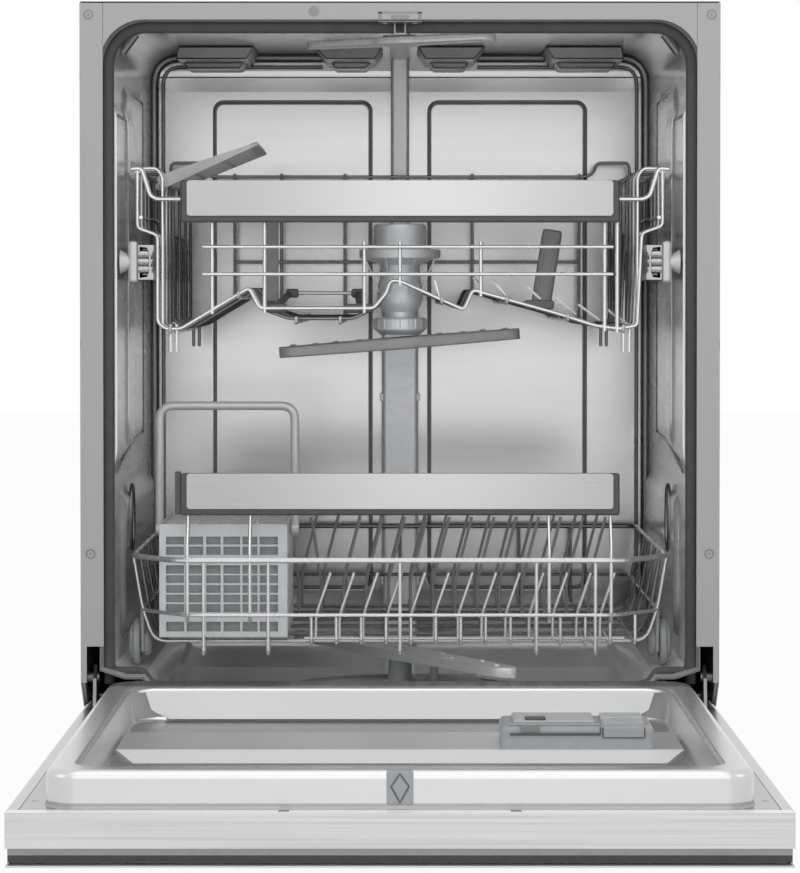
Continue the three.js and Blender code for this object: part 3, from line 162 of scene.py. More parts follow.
def make_studio():
    """White surroundings and floor, one lamp in front, one above and one on each side."""
    world = bpy.data.worlds.new("studio")
    bpy.context.scene.world = world
    world.use_nodes = True
    background = world.node_tree.nodes["Background"]
    background.inputs[0].default_value = (0.86, 0.87, 0.88, 1)
    background.inputs[1].default_value = 0.6
    show_white(world.node_tree, 1.0)
    for lamp in LAMPS:
        make_lamp(*lamp)
    mesh = bpy.data.meshes.new("floor")
    corners = [(-1, -1, 0), (1, -1, 0), (1, 1, 0), (-1, 1, 0)]
    mesh.from_pydata((np.array(corners) * FLOOR_REACH).tolist(), [], [(0, 1, 2, 3)])
    floor = bpy.data.objects.new("floor", mesh)
    bpy.context.scene.collection.objects.link(floor)
    material = bpy.data.materials.new("pale_floor")
    material.use_nodes = True
    surface = material.node_tree.nodes["Principled BSDF"]
    surface.inputs["Base Color"].default_value = (0.88, 0.88, 0.88, 1)
    surface.inputs["Roughness"].default_value = 0.6
    show_white(material.node_tree, FLOOR_WHITE)
    mesh.materials.append(material)
    bpy.context.scene.view_settings.view_transform = "Standard"


# Surfaces: arrays of points and faces, gathered into one mesh per piece

AXES = {"x": [1, 2, 0], "y": [0, 2, 1], "z": [0, 1, 2]}


def quads(rows, columns, wrap_rows=False, wrap_columns=False):
    """Four-sided faces of a grid of points, joined round where it wraps."""
    i = np.arange(rows if wrap_rows else rows - 1)[:, None]
    j = np.arange(columns if wrap_columns else columns - 1)[None, :]
    i2, j2 = (i + 1) % rows, (j + 1) % columns
    corners = [i * columns + j, i2 * columns + j, i2 * columns + j2, i * columns + j2]
    return np.stack(np.broadcast_arrays(*corners), axis=-1).reshape(-1, 4).tolist()


class Shape:
    """Points and faces of one piece, added surface by surface."""

    def __init__(self):
        self.points, self.faces, self.count = [], [], 0

    def add(self, points, faces):
        """Take in a surface's points and its faces, counted from its own first point."""
        points = np.asarray(points, float).reshape(-1, 3)
        self.points.append(points)
        self.faces += [[k + self.count for k in face] for face in faces]
        self.count += len(points)

    def move(self, offset):
        """Shift all points so far."""
        for points in self.points:
            points += offset

    def tilt(self, base, place, slope):
        """Raise all points so far to base plus slope times their y beyond a place."""
        for points in self.points:
            points[:, 2] += base + (points[:, 1] - place) * slope

    def turn(self, axis, degrees, about=(0, 0, 0)):
        """Turn all points so far by the right hand about an axis through a point."""
        a, b = {"y": (2, 0), "z": (0, 1)}[axis]
        angle = math.radians(degrees)
        for points in self.points:
            u, v = points[:, a] - about[a], points[:, b] - about[b]
            points[:, a] = u * math.cos(angle) - v * math.sin(angle) + about[a]
            points[:, b] = u * math.sin(angle) + v * math.cos(angle) + about[b]


def unit(vectors):
    """Vectors of length one."""
    return vectors / np.linalg.norm(vectors, axis=-1, keepdims=True)


def at_height(path, z):
    """Points in plan, set at one height."""
    return np.insert(path, 2, float(z), axis=1)


def at_depth(path, y):
    """Points across, set at one depth."""
    return np.insert(np.asarray(path, float), 1, y, axis=1)


def circle(radius, count):
    """Points of a circle about zero."""
    angle = np.linspace(0, TURN, count, endpoint=False)
    return np.column_stack([radius * np.cos(angle), radius * np.sin(angle)])


def bent(points, radius, steps=4):
    """Path whose corners are parabolas that start one radius before each corner."""
    points = np.asarray(points, float)
    path = [points[:1]]
    t = np.linspace(0, 1, steps + 1)[:, None]
    for a, b, c in zip(points[:-2], points[1:-1], points[2:]):
        reach = min(radius, 0.45 * np.linalg.norm(b - a), 0.45 * np.linalg.norm(c - b))
        start, end = b + unit(a - b) * reach, b + unit(c - b) * reach
        path.append((1 - t) ** 2 * start + 2 * t * (1 - t) * b + t**2 * end)
    path.append(points[-1:])
    return np.concatenate(path)


def tube(shape, path, radius, sides=8, plane=(0, 1, 0), loop=False, flat=1.0):
    """Round section carried along a path: each ring is the centre plus radius times
    (cos a along the path's side direction + flat times sin a along the plane's normal)."""
    path = np.asarray(path, float)
    step = unit(np.diff(np.concatenate([path, path[:1]]) if loop else path, axis=0))
    before = np.roll(step, 1, axis=0) if loop else np.concatenate([step[:1], step])
    after = step if loop else np.concatenate([step, step[-1:]])
    along = unit(before + after)
    side = unit(np.cross(along, np.asarray(plane, float)))
    over = np.cross(side, along)
    a = np.linspace(0, TURN, sides, endpoint=False) + TURN / sides / 2
    spread = radius / np.maximum(0.5, np.sqrt((1 + (before * after).sum(-1)) / 2))[:, None, None]
    ring = np.cos(a)[None, :, None] * side[:, None] * spread
    ring = path[:, None] + (ring + flat * radius * np.sin(a)[None, :, None] * over[:, None])
    if loop:
        shape.add(ring, quads(len(path), sides, True, True))
    else:
        loft(shape, ring)


def rounded(low, high, radius, steps=6):
    """Outline of a rectangle whose corners are quarter circles."""
    (a0, b0), (a1, b1) = low, high
    t = np.linspace(0, QUARTER, steps + 1)
    arc = np.stack([np.cos(t), np.sin(t)], axis=1) * radius
    return np.concatenate([
        [a1 - radius, b1 - radius] + arc,
        [a0 + radius, b1 - radius] + arc[:, ::-1] * [-1, 1],
        [a0 + radius, b0 + radius] - arc,
        [a1 - radius, b0 + radius] + arc[:, ::-1] * [1, -1],
    ])


def loft(shape, rings):
    """Rings with as many points each, joined in order and closed by a face at both ends."""
    rings = np.array(rings)
    m, n = rings.shape[:2]
    shape.add(rings, quads(m, n, False, True) + [list(range(n)), [(m - 1) * n + k for k in range(n)]])


def prism(shape, outline, low, high, axis):
    """Outline drawn out along an axis, its two ends closed by one face each."""
    a, b, c = AXES[axis]
    points = np.empty((2, len(outline), 3))
    points[:, :, a], points[:, :, b] = outline[:, 0], outline[:, 1]
    points[0, :, c], points[1, :, c] = low, high
    loft(shape, points)


def soft_block(shape, low, high, radius, axis="y", steps=3):
    """Block with rounded edges along one axis and eased ends: outlines that grow
    from the end, by a quarter circle, to the full size and back. The corners' sideways
    places may come in either order."""
    low, high = (min(low[0], high[0]), *low[1:]), (max(low[0], high[0]), *high[1:])
    a, b, c = AXES[axis]
    t = np.linspace(0, QUARTER, steps + 1)
    inset = radius * (1 - np.sin(t))
    depth = radius * (1 - np.cos(t))
    rings = []
    for insets, places in ((inset, low[c] + depth), (inset[::-1], high[c] - depth[::-1])):
        for gap, place in zip(insets, places):
            start, stop = (low[a] + gap, low[b] + gap), (high[a] - gap, high[b] - gap)
            ring = rounded(start, stop, radius - gap + 0.05, steps)
            points = np.empty((len(ring), 3))
            points[:, a], points[:, b], points[:, c] = ring[:, 0], ring[:, 1], place
            rings.append(points)
    loft(shape, rings)


def blocks(*rows):
    """Shape of soft blocks, each given as to soft_block()."""
    shape = Shape()
    for row in rows:
        soft_block(shape, *row)
    return shape


def lathe(shape, profile, centre, sides=40, axis="z", closed=True):
    """Profile of radius and height turned about an axis through a point. A closed one meets
    itself, an open one ends in two flat faces."""
    profile = np.asarray(profile, float)
    turned = profile[:, :1, None] * circle(1.0, sides)
    a, b, c = AXES[axis]
    points = np.empty((len(profile), sides, 3))
    points[:, :, a], points[:, :, b] = centre[0] + turned[:, :, 0], centre[1] + turned[:, :, 1]
    points[:, :, c] = profile[:, 1:]
    if closed:
        shape.add(points, quads(len(profile), sides, True, True))
    else:
        loft(shape, points)


def disc(shape, profile, centre, sides=40, axis="z"):
    """Open profile turned about an axis."""
    lathe(shape, profile, centre, sides, axis, closed=False)


def slab(shape, top, thickness):
    """Closed sheet: a grid of points, the same grid moved by the thickness, and a rim."""
    rows, columns = top.shape[:2]
    under = top + np.asarray(thickness, float)
    inner = np.arange(rows * columns).reshape(rows, columns)
    rim = np.concatenate([inner[0, :], inner[1:, -1], inner[-1, -2::-1], inner[-2:0:-1, 0]])
    after = np.roll(rim, -1)
    shift = rows * columns
    faces = quads(rows, columns)
    faces += [[k + shift for k in face[::-1]] for face in faces]
    faces += np.stack([rim, after, after + shift, rim + shift], axis=1).tolist()
    shape.add(np.concatenate([top.reshape(-1, 3), under.reshape(-1, 3)]), faces)


def step_up(x, edge, width):
    """Smooth step from 0 to 1 of the given width about an edge."""
    t = np.clip((np.asarray(x, float) - edge) / width + 0.5, 0, 1)
    return t * t * (3 - 2 * t)


def box_distance(x, y, low, high, radius):
    """Signed distance to a rounded rectangle: below zero inside it."""
    cx, cy = (low[0] + high[0]) / 2, (low[1] + high[1]) / 2
    hx, hy = (high[0] - low[0]) / 2 - radius, (high[1] - low[1]) / 2 - radius
    dx, dy = np.abs(x - cx) - hx, np.abs(y - cy) - hy
    outside = np.hypot(np.maximum(dx, 0), np.maximum(dy, 0))
    return outside + np.minimum(np.maximum(dx, dy), 0) - radius


def spaced(low, high, coarse, fine, places, reach):
    """Sorted samples: coarse everywhere, fine within a reach of the given places."""
    samples = [np.arange(low, high, coarse), [high]]
    samples += [np.arange(place - reach, place + reach, fine) for place in places]
    samples = np.unique(np.round(np.concatenate(samples), 3))
    return samples[(samples >= low) & (samples <= high)]


def piece(name, shape, material, body, replaces=(), smooth=40, bevel=0, slot=None):
    """Mesh object of a shape: merged, turned outwards, shaded, riding on its body. Its slot, its
    finish's own unless another is named, is worked out but not kept."""
    mesh = bpy.data.meshes.new(name)
    mesh.from_pydata(to_frame(np.concatenate(shape.points)).tolist(), [], shape.faces)
    work = bmesh.new()
    work.from_mesh(mesh)
    bmesh.ops.remove_doubles(work, verts=work.verts, dist=1e-6)
    bmesh.ops.recalc_face_normals(work, faces=work.faces)
    limit = math.radians(smooth)
    for face in work.faces:
        face.smooth = True
    for edge in work.edges:
        edge.smooth = len(edge.link_faces) == 2 and edge.calc_face_angle() < limit
    work.to_mesh(mesh)
    work.free()
    made = bpy.data.objects.new(name, mesh)
    bpy.context.scene.collection.objects.link(made)
    mesh.materials.append(material)
    if bevel:
        eased = made.modifiers.new("eased_edges", "BEVEL")
        eased.width = bevel * MM
        eased.segments = 2
        eased.limit_method = "ANGLE"
        eased.angle_limit = math.radians(40)
        eased.harden_normals = True
    flatter = made.modifiers.new("flat_faces_first", "WEIGHTED_NORMAL")
    flatter.keep_sharp = True
    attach(made, body)
    if replaces:
        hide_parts(*replaces)
    slot = slot or SLOT_OF[material.name]


# Finishes

NOISE_SPAN = (0.3, 0.7)
SMOOTHEST = 0.02
GRAIN_DEPTH = 0.0004
FIELD = {"Scale": 1.0, "Brick Width": 0.27, "Row Height": 0.25, "Mortar Size": 0.006, "Mortar Smooth": 0.9}
FIELD_STRENGTH, FIELD_DEPTH = 0.7, 0.003
OUTERMOST = (0.2985, 0.2989)


def relief_node(tree, height, strength, distance):
    """Bump from a height socket, into the tree's shader."""
    relief = tree.nodes.new("ShaderNodeBump")
    relief.inputs["Strength"].default_value = strength
    relief.inputs["Distance"].default_value = distance
    tree.links.new(height, relief.inputs["Height"])
    tree.links.new(relief.outputs["Normal"], tree.nodes["Principled BSDF"].inputs["Normal"])


def finish(name, colour, roughness, metallic, grain, shade, rough_shade, bump=0.0):
    """Procedural material: stretched noise in object space moves colour and roughness a
    little and, where asked, the surface's height."""
    material = bpy.data.materials.new(name)
    material.use_nodes = True
    tree = material.node_tree
    nodes, links = tree.nodes, tree.links
    shader = nodes["Principled BSDF"]
    shader.inputs["Metallic"].default_value = metallic
    place = nodes.new("ShaderNodeTexCoord")
    stretch = nodes.new("ShaderNodeMapping")
    stretch.inputs["Scale"].default_value = grain
    noise = nodes.new("ShaderNodeTexNoise")
    noise.inputs["Scale"].default_value = 1.0
    noise.inputs["Detail"].default_value = 3.0
    links.new(place.outputs["Object"], stretch.inputs["Vector"])
    links.new(stretch.outputs["Vector"], noise.inputs["Vector"])
    ramp = nodes.new("ShaderNodeValToRGB")
    for element, position, side in zip(ramp.color_ramp.elements, NOISE_SPAN, (1 - shade, 1 + shade)):
        element.position = position
        element.color = (*(min(1.0, part * side) for part in colour), 1)
    links.new(noise.outputs["Fac"], ramp.inputs["Fac"])
    links.new(ramp.outputs["Color"], shader.inputs["Base Color"])
    spread = (max(SMOOTHEST, roughness - rough_shade), roughness + rough_shade)
    links.new(range_node(tree, noise.outputs["Fac"], NOISE_SPAN, spread), shader.inputs["Roughness"])
    if bump:
        relief_node(tree, noise.outputs["Fac"], bump, GRAIN_DEPTH)
    return material


def shaded(material, axis, centre, near, far, share):
    """Painted shade: colour falls to a share of itself between two distances from a place on an axis."""
    tree = material.node_tree
    colour = tree.nodes["Principled BSDF"].inputs["Base Color"]
    source = colour.links[0].from_socket
    away = math_node(tree, "ABSOLUTE", math_node(tree, "SUBTRACT", object_axes(tree)[axis], centre))
    scaled = tree.nodes.new("ShaderNodeVectorMath")
    scaled.operation = "SCALE"
    tree.links.new(source, scaled.inputs[0])
    tree.links.new(range_node(tree, away, (near, far), (1.0, share), "SMOOTHSTEP"), scaled.inputs["Scale"])
    tree.links.new(scaled.outputs["Vector"], colour)


def pressed(material):
    """Relief of pressed fields on the outer faces of the side panels: bricks in depth and
    height, kept to where the side stands furthest out."""
    tree = material.node_tree
    axes = object_axes(tree)
    flat = tree.nodes.new("ShaderNodeCombineXYZ")
    fields = tree.nodes.new("ShaderNodeTexBrick")
    fields.offset = 0.0
    for name, value in FIELD.items():
        fields.inputs[name].default_value = value
    tree.links.new(axes["Y"], flat.inputs["X"])
    tree.links.new(axes["Z"], flat.inputs["Y"])
    tree.links.new(flat.outputs["Vector"], fields.inputs["Vector"])
    mask = range_node(tree, math_node(tree, "ABSOLUTE", axes["X"]), OUTERMOST, (0.0, 1.0))
    height = math_node(tree, "MULTIPLY", fields.outputs["Fac"], mask)
    relief_node(tree, height, FIELD_STRENGTH, FIELD_DEPTH)


def grey(level, tint=0.0):
    """Grey a little towards blue where the tint is above zero."""
    return (level * (1 - tint), level, level * (1 + tint))


# Name, colour, roughness, metallic, grain along x, y and z, shade, shade of roughness, bump
cabinet_steel = finish("cabinet_steel", grey(0.36), 0.46, 0.55, (9, 9, 9), 0.04, 0.05)
brushed_steel = finish("brushed_steel", grey(0.58), 0.32, 1.0, (3, 420, 420), 0.07, 0.08, 0.12)
# Painted light and shade: slope and recess steel are lighter copies of the liner steel, and wall and back
# steel lighter copies of the tub steel, toned for how light falls on each surface
liner_steel = finish("liner_steel", grey(0.65), 0.27, 0.75, (6, 6, 6), 0.012, 0.01)
painted_light_steel = finish("painted_light_steel", grey(0.98), 0.36, 0.15, (6, 6, 6), 0.012, 0.01)
tub_steel = finish("tub_steel", grey(0.54), 0.22, 0.8, (4, 4, 60), 0.015, 0.02)
wall_steel = finish("wall_steel", grey(0.92), 0.2, 0.42, (4, 4, 60), 0.015, 0.02)
recess_steel = finish("recess_steel", grey(0.74), 0.3, 0.7, (6, 6, 6), 0.012, 0.01)
back_steel = finish("back_steel", grey(0.6), 0.22, 0.76, (4, 4, 60), 0.015, 0.02)
# hinge steel also serves as painted shade: the lines in the back wall's grooves and the band in the door's
# grip
hinge_steel = finish("hinge_steel", grey(0.30), 0.42, 0.9, (70, 70, 70), 0.12, 0.1)
# zinc steel also serves as painted shade: the ceiling ribs and the dark lines in the tub's creases
zinc_and_shade_steel = finish("zinc_and_shade_steel", grey(0.2), 0.3, 0.9, (26, 26, 26), 0.08, 0.06)
runner_chrome = finish("runner_chrome", grey(0.33), 0.2, 1.0, (300, 5, 300), 0.06, 0.06)
wire_coat = finish("wire_coat", grey(0.66, 0.01), 0.26, 0.75, (50, 50, 50), 0.05, 0.05)
dark_plastic = finish("dark_plastic", grey(0.085), 0.45, 0.0, (160, 160, 160), 0.12, 0.06, 0.1)
facing_steel = finish("facing_steel", grey(0.5), 0.3, 1.0, (4, 420, 420), 0.06, 0.06, 0.08)
duct_plastic = finish("duct_plastic", grey(0.86, 0.02), 0.36, 0.35, (120, 120, 120), 0.03, 0.05, 0.05)
lid_plastic = finish("lid_plastic", grey(0.52, 0.02), 0.45, 0.0, (120, 120, 120), 0.04, 0.05, 0.05)
flap_plastic = finish("flap_plastic", grey(0.24, 0.01), 0.42, 0.0, (120, 120, 120), 0.05, 0.05, 0.05)
tine_coat = finish("tine_coat", grey(0.3, 0.01), 0.36, 0.0, (50, 50, 50), 0.05, 0.05)
grey_plastic = finish("grey_plastic", grey(0.38, 0.03), 0.42, 0.0, (120, 120, 120), 0.05, 0.05, 0.06)
pale_plastic = finish("pale_plastic", grey(0.68, 0.02), 0.38, 0.2, (120, 120, 120), 0.04, 0.05, 0.05)
# seal rubber also serves as painted shade: plates in the door's slots and the line in its grip
seal_rubber_and_shade = finish("seal_rubber_and_shade", grey(0.075), 0.62, 0.0, (90, 90, 90), 0.15, 0.08, 0.1)
black_gloss = finish("black_gloss", grey(0.012), 0.1, 0.0, (30, 30, 30), 0.2, 0.03)

# Painted shade and sheen: material, axis, centre, near, far, share; in metres
# painted shade: the top of the door's far rim and the rim's ends near the hinges darker
shaded(liner_steel, "Y", -0.3, 0.268, 0.285, 0.3)
# painted shade: the liner darker below 0.16 m, over the recess floor and the foot of the near face
shaded(liner_steel, "Z", 0.2, 0.0398, 0.041, 0.6)
# painted light and shade: the tub's floor lighter, its walls a fifth darker above 0.175 m
shaded(wall_steel, "Z", 0.0, 0.175, 0.23, 0.8)
# painted shade: the front edge of the tub's collar dark, over its highlight
shaded(wall_steel, "Y", 0.3, 0.27, 0.279, 0.2)
# painted shade: the tub's back wall darker below about 0.28 m
shaded(back_steel, "Z", 0.8, 0.52, 0.6, 0.42)
# painted shade: rack wires darker further back
shaded(wire_coat, "Y", 0.0, 0.075, 0.21, 0.28)
# painted sheen: rack facings brightest near the middle, darker towards their ends
shaded(facing_steel, "X", 0.03, 0.0, 0.21, 0.74)
pressed(cabinet_steel)

SLOTS = {
    "cabinet": (cabinet_steel,),
    "door_steel": (facing_steel, liner_steel, recess_steel, painted_light_steel, brushed_steel),
    "tub_steel": (wall_steel, back_steel, tub_steel, zinc_and_shade_steel),
    "hinge_steel": (hinge_steel,),
    "runner_chrome": (runner_chrome,),
    "coated_wire": (wire_coat, tine_coat),
    "pale_plastic": (duct_plastic, lid_plastic, pale_plastic),
    "grey_plastic": (grey_plastic,),
    "dark_plastic": (dark_plastic, flap_plastic),
    "gasket": (seal_rubber_and_shade,),
}
SLOT_OF = {material.name: slot for slot, materials in SLOTS.items() for material in materials}

CAD_FINISHES = {
    cabinet_steel: "left_side_panel right_side_panel front_frame top_cover rear_panel kick_panel",
    tub_steel: "tub filter_plate",
    liner_steel: "door_inner_liner",
    brushed_steel: "door_outer_panel door_top_cap",
    facing_steel: "upper_rack_facing lower_rack_facing",
    hinge_steel: "door_arm_left door_arm_right hinge_bracket_left hinge_bracket_right latch_strike",
    runner_chrome: "runner_slide_left runner_slide_right",
    wire_coat: "upper_rack_basket lower_rack_basket tine_row_middle tine_row_rear",
    dark_plastic: "upper_rack_handle lower_rack_handle folding_flap base_tray height_adjuster_left "
    "height_adjuster_right foot_front_left foot_front_right foot_rear_left foot_rear_right",
    grey_plastic: "runner_rail_left runner_rail_right front_wheel_left front_wheel_right rear_wheel_left "
    "rear_wheel_right sump_housing circulation_pump drain_pump filter_cylinder",
    pale_plastic: "feed_pipe spray_manifold middle_spray_arm ceiling_spray_arm lower_spray_arm cup_shelf "
    "cutlery_basket cutlery_handle dispenser_body dispenser_lid rinse_aid_lid latch_catch power_button "
    "start_button",
    seal_rubber_and_shade: "tub_gasket",
    black_gloss: "display_panel",
}
for material, names in CAD_FINISHES.items():
    for name in names.split():
        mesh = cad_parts[name].data
        mesh.materials.clear()
        mesh.materials.append(material)


# Racks

WIRE, RIM_WIRE, FINE_WIRE = 1.8, 2.7, 1.6
UPPER_FRONT, UPPER_REAR, UPPER_HALF, UPPER_RIM = 62, 490, 250, 664
HOOP_YS = (62, 112, 160, 204, 300, 348, 396, 443, 490)
HOOP = np.array([
    (-250, 664), (-250, 610), (-231, 603), (-231, 520), (-224, 514), (-209, 514), (-144, 553),
    (-134, 532), (-109, 523), (-47, 523), (-25, 533), (-13, 548), (-9, 560), (0, 559.5), (61, 532),
    (69.5, 551), (152, 528), (186, 517), (208, 514), (226, 517), (230.5, 605), (250, 612), (250, 664),
], float)
VALLEY_LEFT, VALLEY_RIGHT, FRONT_VALLEY = -140, -20, 533.5
SHORT_TINES = ((37, 544, 33, 560), (78, 553, 70, 563), (100, 546, 88, 561), (134, 542, 121, 554),
               (168, 527, 149, 543), (191, 522, 170, 537), (217, 518, 198, 532))
UPPER_RUNS = (-219, -154, -99, -57, 40, 102, 160, 213)
FRONT_UPRIGHTS = ((-179, 646), (-129, 646), (-34, 597), (0, 597), (77, 597), (195, 646), (207, 646))
POST = ((250, 666.5), (232, 667), (226.4, 659), (226.4, 519))
BACK_RAIL = ((-250, 664), (-247, 688.5), (-214, 688.5), (-206, 673.5), (199, 673.5), (209, 677), (213, 688.5),
             (247, 688.5), (250, 664))


def hoop_height(x):
    """Height of the hoops' zigzag at x."""
    inner = HOOP[3:-3]
    return np.interp(x, inner[:, 0], inner[:, 1])


def front_hoop():
    """The front hoops' valley is shallower than the others'."""
    raised = HOOP.copy()
    valley = (raised[:, 0] > VALLEY_LEFT) & (raised[:, 0] < VALLEY_RIGHT)
    raised[valley, 1] = np.maximum(raised[valley, 1], FRONT_VALLEY)
    return raised


def make_upper_rack():
    """Wires of the upper rack: hoops in planes across, runs from front to back, rails round,
    posts on the sides and short tines."""
    shape = Shape()
    for y in HOOP_YS:
        tube(shape, bent(at_depth(front_hoop() if y < 130 else HOOP, y), 4), WIRE)
    for x in UPPER_RUNS:
        z = hoop_height(x) - 1.9 * WIRE
        path = [(x, UPPER_FRONT - 2, z + 6), (x, UPPER_FRONT - 1, z), (x, UPPER_REAR + 1, z),
                (x, UPPER_REAR + 2, z + 6)]
        tube(shape, bent(path, 4), WIRE, 8, X_NORMAL)
    inner = UPPER_HALF - 3.2
    for x in (-inner, inner):
        tube(shape, [(x, UPPER_FRONT, 620), (x, UPPER_REAR, 620)], WIRE, 8, Z_NORMAL)
    for _, side in SIDES:
        rim = [(side * UPPER_HALF, y, UPPER_RIM) for y in (UPPER_REAR, UPPER_FRONT)]
        tube(shape, rim, RIM_WIRE, 8, X_NORMAL)
        dive = [(side * 256, 62, 666), (side * 246, 62, 667), (side * 238, 62, 641), (side * 232, 62, 637.5),
                (side * 206, 60, 637.5)]
        tube(shape, bent(dive, 7), RIM_WIRE * 0.85)
        for x in (side * 219, side * 213):
            for y in (66, 420):
                tube(shape, [(x, y, 491.5), (x, y, 518)], WIRE)
    front = UPPER_FRONT - 1.7 * WIRE
    for z in (592, 566):
        tube(shape, [(-188, front, z), (203, front, z)], WIRE)
    for x, top in FRONT_UPRIGHTS:
        foot = hoop_height(x)
        if VALLEY_LEFT < x < VALLEY_RIGHT:
            foot = max(foot, 533)
        tube(shape, [(x, UPPER_FRONT, foot - 4), (x, UPPER_FRONT, top)], WIRE + 0.2)
    tube(shape, [(-106, 130, 548), (-40, 130, 548)], WIRE)
    for x in (-178.6, -128, -59.5, 78, 193.7):
        tube(shape, [(x, UPPER_REAR, hoop_height(x)), (x, UPPER_REAR, 677)], WIRE)
    tube(shape, [(-178.6, UPPER_REAR - 3, 581.5), (193.7, UPPER_REAR - 3, 581.5)], WIRE)
    for y in (66, 118, 166, 214, 308, 402, 486):
        for _, side in SIDES:
            post = [(side * x, y, z) for x, z in POST]
            tube(shape, bent(post, 6), WIRE)
    for x0, z0, x1, z1 in SHORT_TINES:
        tube(shape, [(x0, 66, z0), (x1, 66, z1)], FINE_WIRE * 0.8, 6)
    tube(shape, bent(at_depth(BACK_RAIL, UPPER_REAR), 5), WIRE)
    piece("upper_rack_wires", shape, wire_coat, "upper_rack", ["upper_rack_basket"])


LOWER_FRONT, LOWER_REAR, LOWER_HALF, LOWER_MID_HALF = 33, 500, 257, 248
SHOULDER, LOWER_FRONT_HALF = 88, 211
LOWER_TOP, LOWER_MID, LOWER_FLOOR = 295, 243, 216
LOWER_RUNS = (-186, -124.8, 0, 129.2, 185)
LOWER_CROSSES = (94, 165, 236, 307, 378, 449)
TINE_PITCH, TINES_END = 22.7, 215
AXLE_YS, AXLE_Z = {"front": 112, "rear": 430}, 210


def rail_loop(shape, inset, z, radius, corner=16):
    """Closed lower rail, narrow at the front and full width behind the shoulders: the
    outline's corners replaced by parabolas."""
    half, front_half = LOWER_HALF - inset, LOWER_FRONT_HALF - inset
    right = [(front_half, LOWER_FRONT), (half, SHOULDER), (half, LOWER_REAR - inset)]
    corners = [(0, LOWER_FRONT)] + right + [(-x, y) for x, y in right[::-1]] + [(0, LOWER_FRONT)]
    tube(shape, at_height(bent(corners, corner)[:-1], z), radius, 8, Z_NORMAL, loop=True)


def tine_row(shape, y, left, top, rod_z, lean, parting=-300):
    """Leaning tines on a rod: each goes up, bends over a third of the way and leans, the
    other way left of the parting."""
    count = int((TINES_END - left) / TINE_PITCH)
    for x in left + (np.arange(count) + 0.5) * TINE_PITCH:
        bend = rod_z + (top - rod_z) * 0.35
        tip = x + (lean if x > parting else -0.6 * lean)
        tube(shape, bent([(x, y, rod_z), (x, y, bend), (tip, y, top)], 8), FINE_WIRE)
    tube(shape, [(left, y, rod_z), (TINES_END, y, rod_z)], FINE_WIRE)


def make_lower_rack():
    """Wires of the lower rack: rails round, runs and crosses that rise at their ends, three
    rows of tines, and the wheels' mounts."""
    shape = Shape()
    rail_loop(shape, 0, LOWER_TOP, RIM_WIRE)
    rail_loop(shape, LOWER_HALF - LOWER_MID_HALF, LOWER_MID, WIRE)
    front = LOWER_FRONT
    for x in LOWER_RUNS:
        path = [
            (x, front + 0.3, LOWER_TOP + 1), (x, front + 0.3, 206), (x, front + 13, 206),
            (x, front + 16, LOWER_FLOOR - 1), (x, LOWER_REAR, LOWER_FLOOR - 1), (x, LOWER_REAR, LOWER_TOP),
        ]
        tube(shape, bent(path, 4), WIRE, 8, X_NORMAL)
    for x in np.arange(-84, 225, 23.6):
        path = [(x, front + 6, LOWER_MID), (x, front + 6, 215), (x, LOWER_REAR, 215)]
        tube(shape, bent(path, 5), FINE_WIRE, 6, X_NORMAL)
    low = LOWER_FLOOR - 1.9 * WIRE
    right = np.array([(237, low), (LOWER_MID_HALF, LOWER_MID), (LOWER_HALF, LOWER_TOP)])
    cross = np.concatenate([right[::-1] * [-1, 1], right])
    for y in LOWER_CROSSES:
        tube(shape, bent(at_depth(cross, y), 12), WIRE)
    for x in (-201.3, -142.2, 141.3, 200):
        path = [(x, front + 4, 236), (x, front + 0.2, 243), (x, front + 0.2, 306), (x, 50, 332), (x, 50, 376)]
        tube(shape, bent(path, 6), WIRE, 8, X_NORMAL)
    tine_row(shape, 75, -92, 280, LOWER_FLOOR + 1, 14)
    mounts = Shape()
    axle = np.array([(0.01, 241), (11, 241), (13.5, 243.5), (13.5, 247), (4, 247), (4, 257.5), (0.01, 257.5)])
    for _, side in SIDES:
        for y in AXLE_YS.values():
            soft_block(mounts, (side * 246.7, y - 17, 201.5), (side * 250.6, y + 17, 246), 1.6, "x")
            lathe(mounts, axle * [1, side], (y, AXLE_Z), 28, "x")
    piece("wheel_mounts", mounts, grey_plastic, "lower_rack")
    piece("lower_rack_wires", shape, wire_coat, "lower_rack", ["lower_rack_basket"])
    for name, y, parting in (("middle", 275, -60), ("rear", 390, -300)):
        row = Shape()
        tine_row(row, y, -205, 320, 218.9, 17, parting)
        piece("tines_" + name, row, tine_coat, "tine_row_" + name, ["tine_row_" + name])


def make_handle(prefix, y, z):
    """Steel facing with rounded corners in front of a dark tray that shows round it."""
    body = prefix + "_rack"
    facing = Shape()
    prism(facing, rounded((-202.5, z), (202.5, z + 34), 3.5), y, y + 2, "y")
    piece(body + "_steel", facing, facing_steel, body, [body + "_facing"], bevel=0.4)
    backing = blocks(((-208.5, y + 2.3, z - 6), (208.5, y + 12, z + 34), 2.5))
    if prefix == "lower":
        soft_block(backing, (-213.6, y + 5, z - 5), (-208, y + 12, z + 35.5), 1)
    piece(body + "_grip", backing, dark_plastic, body, [body + "_handle"])


# Door

PLATE, PLATE_UNDER, RIM_TOP = 155, 152.6, 185
DOOR_LIP_HALF = 298.2


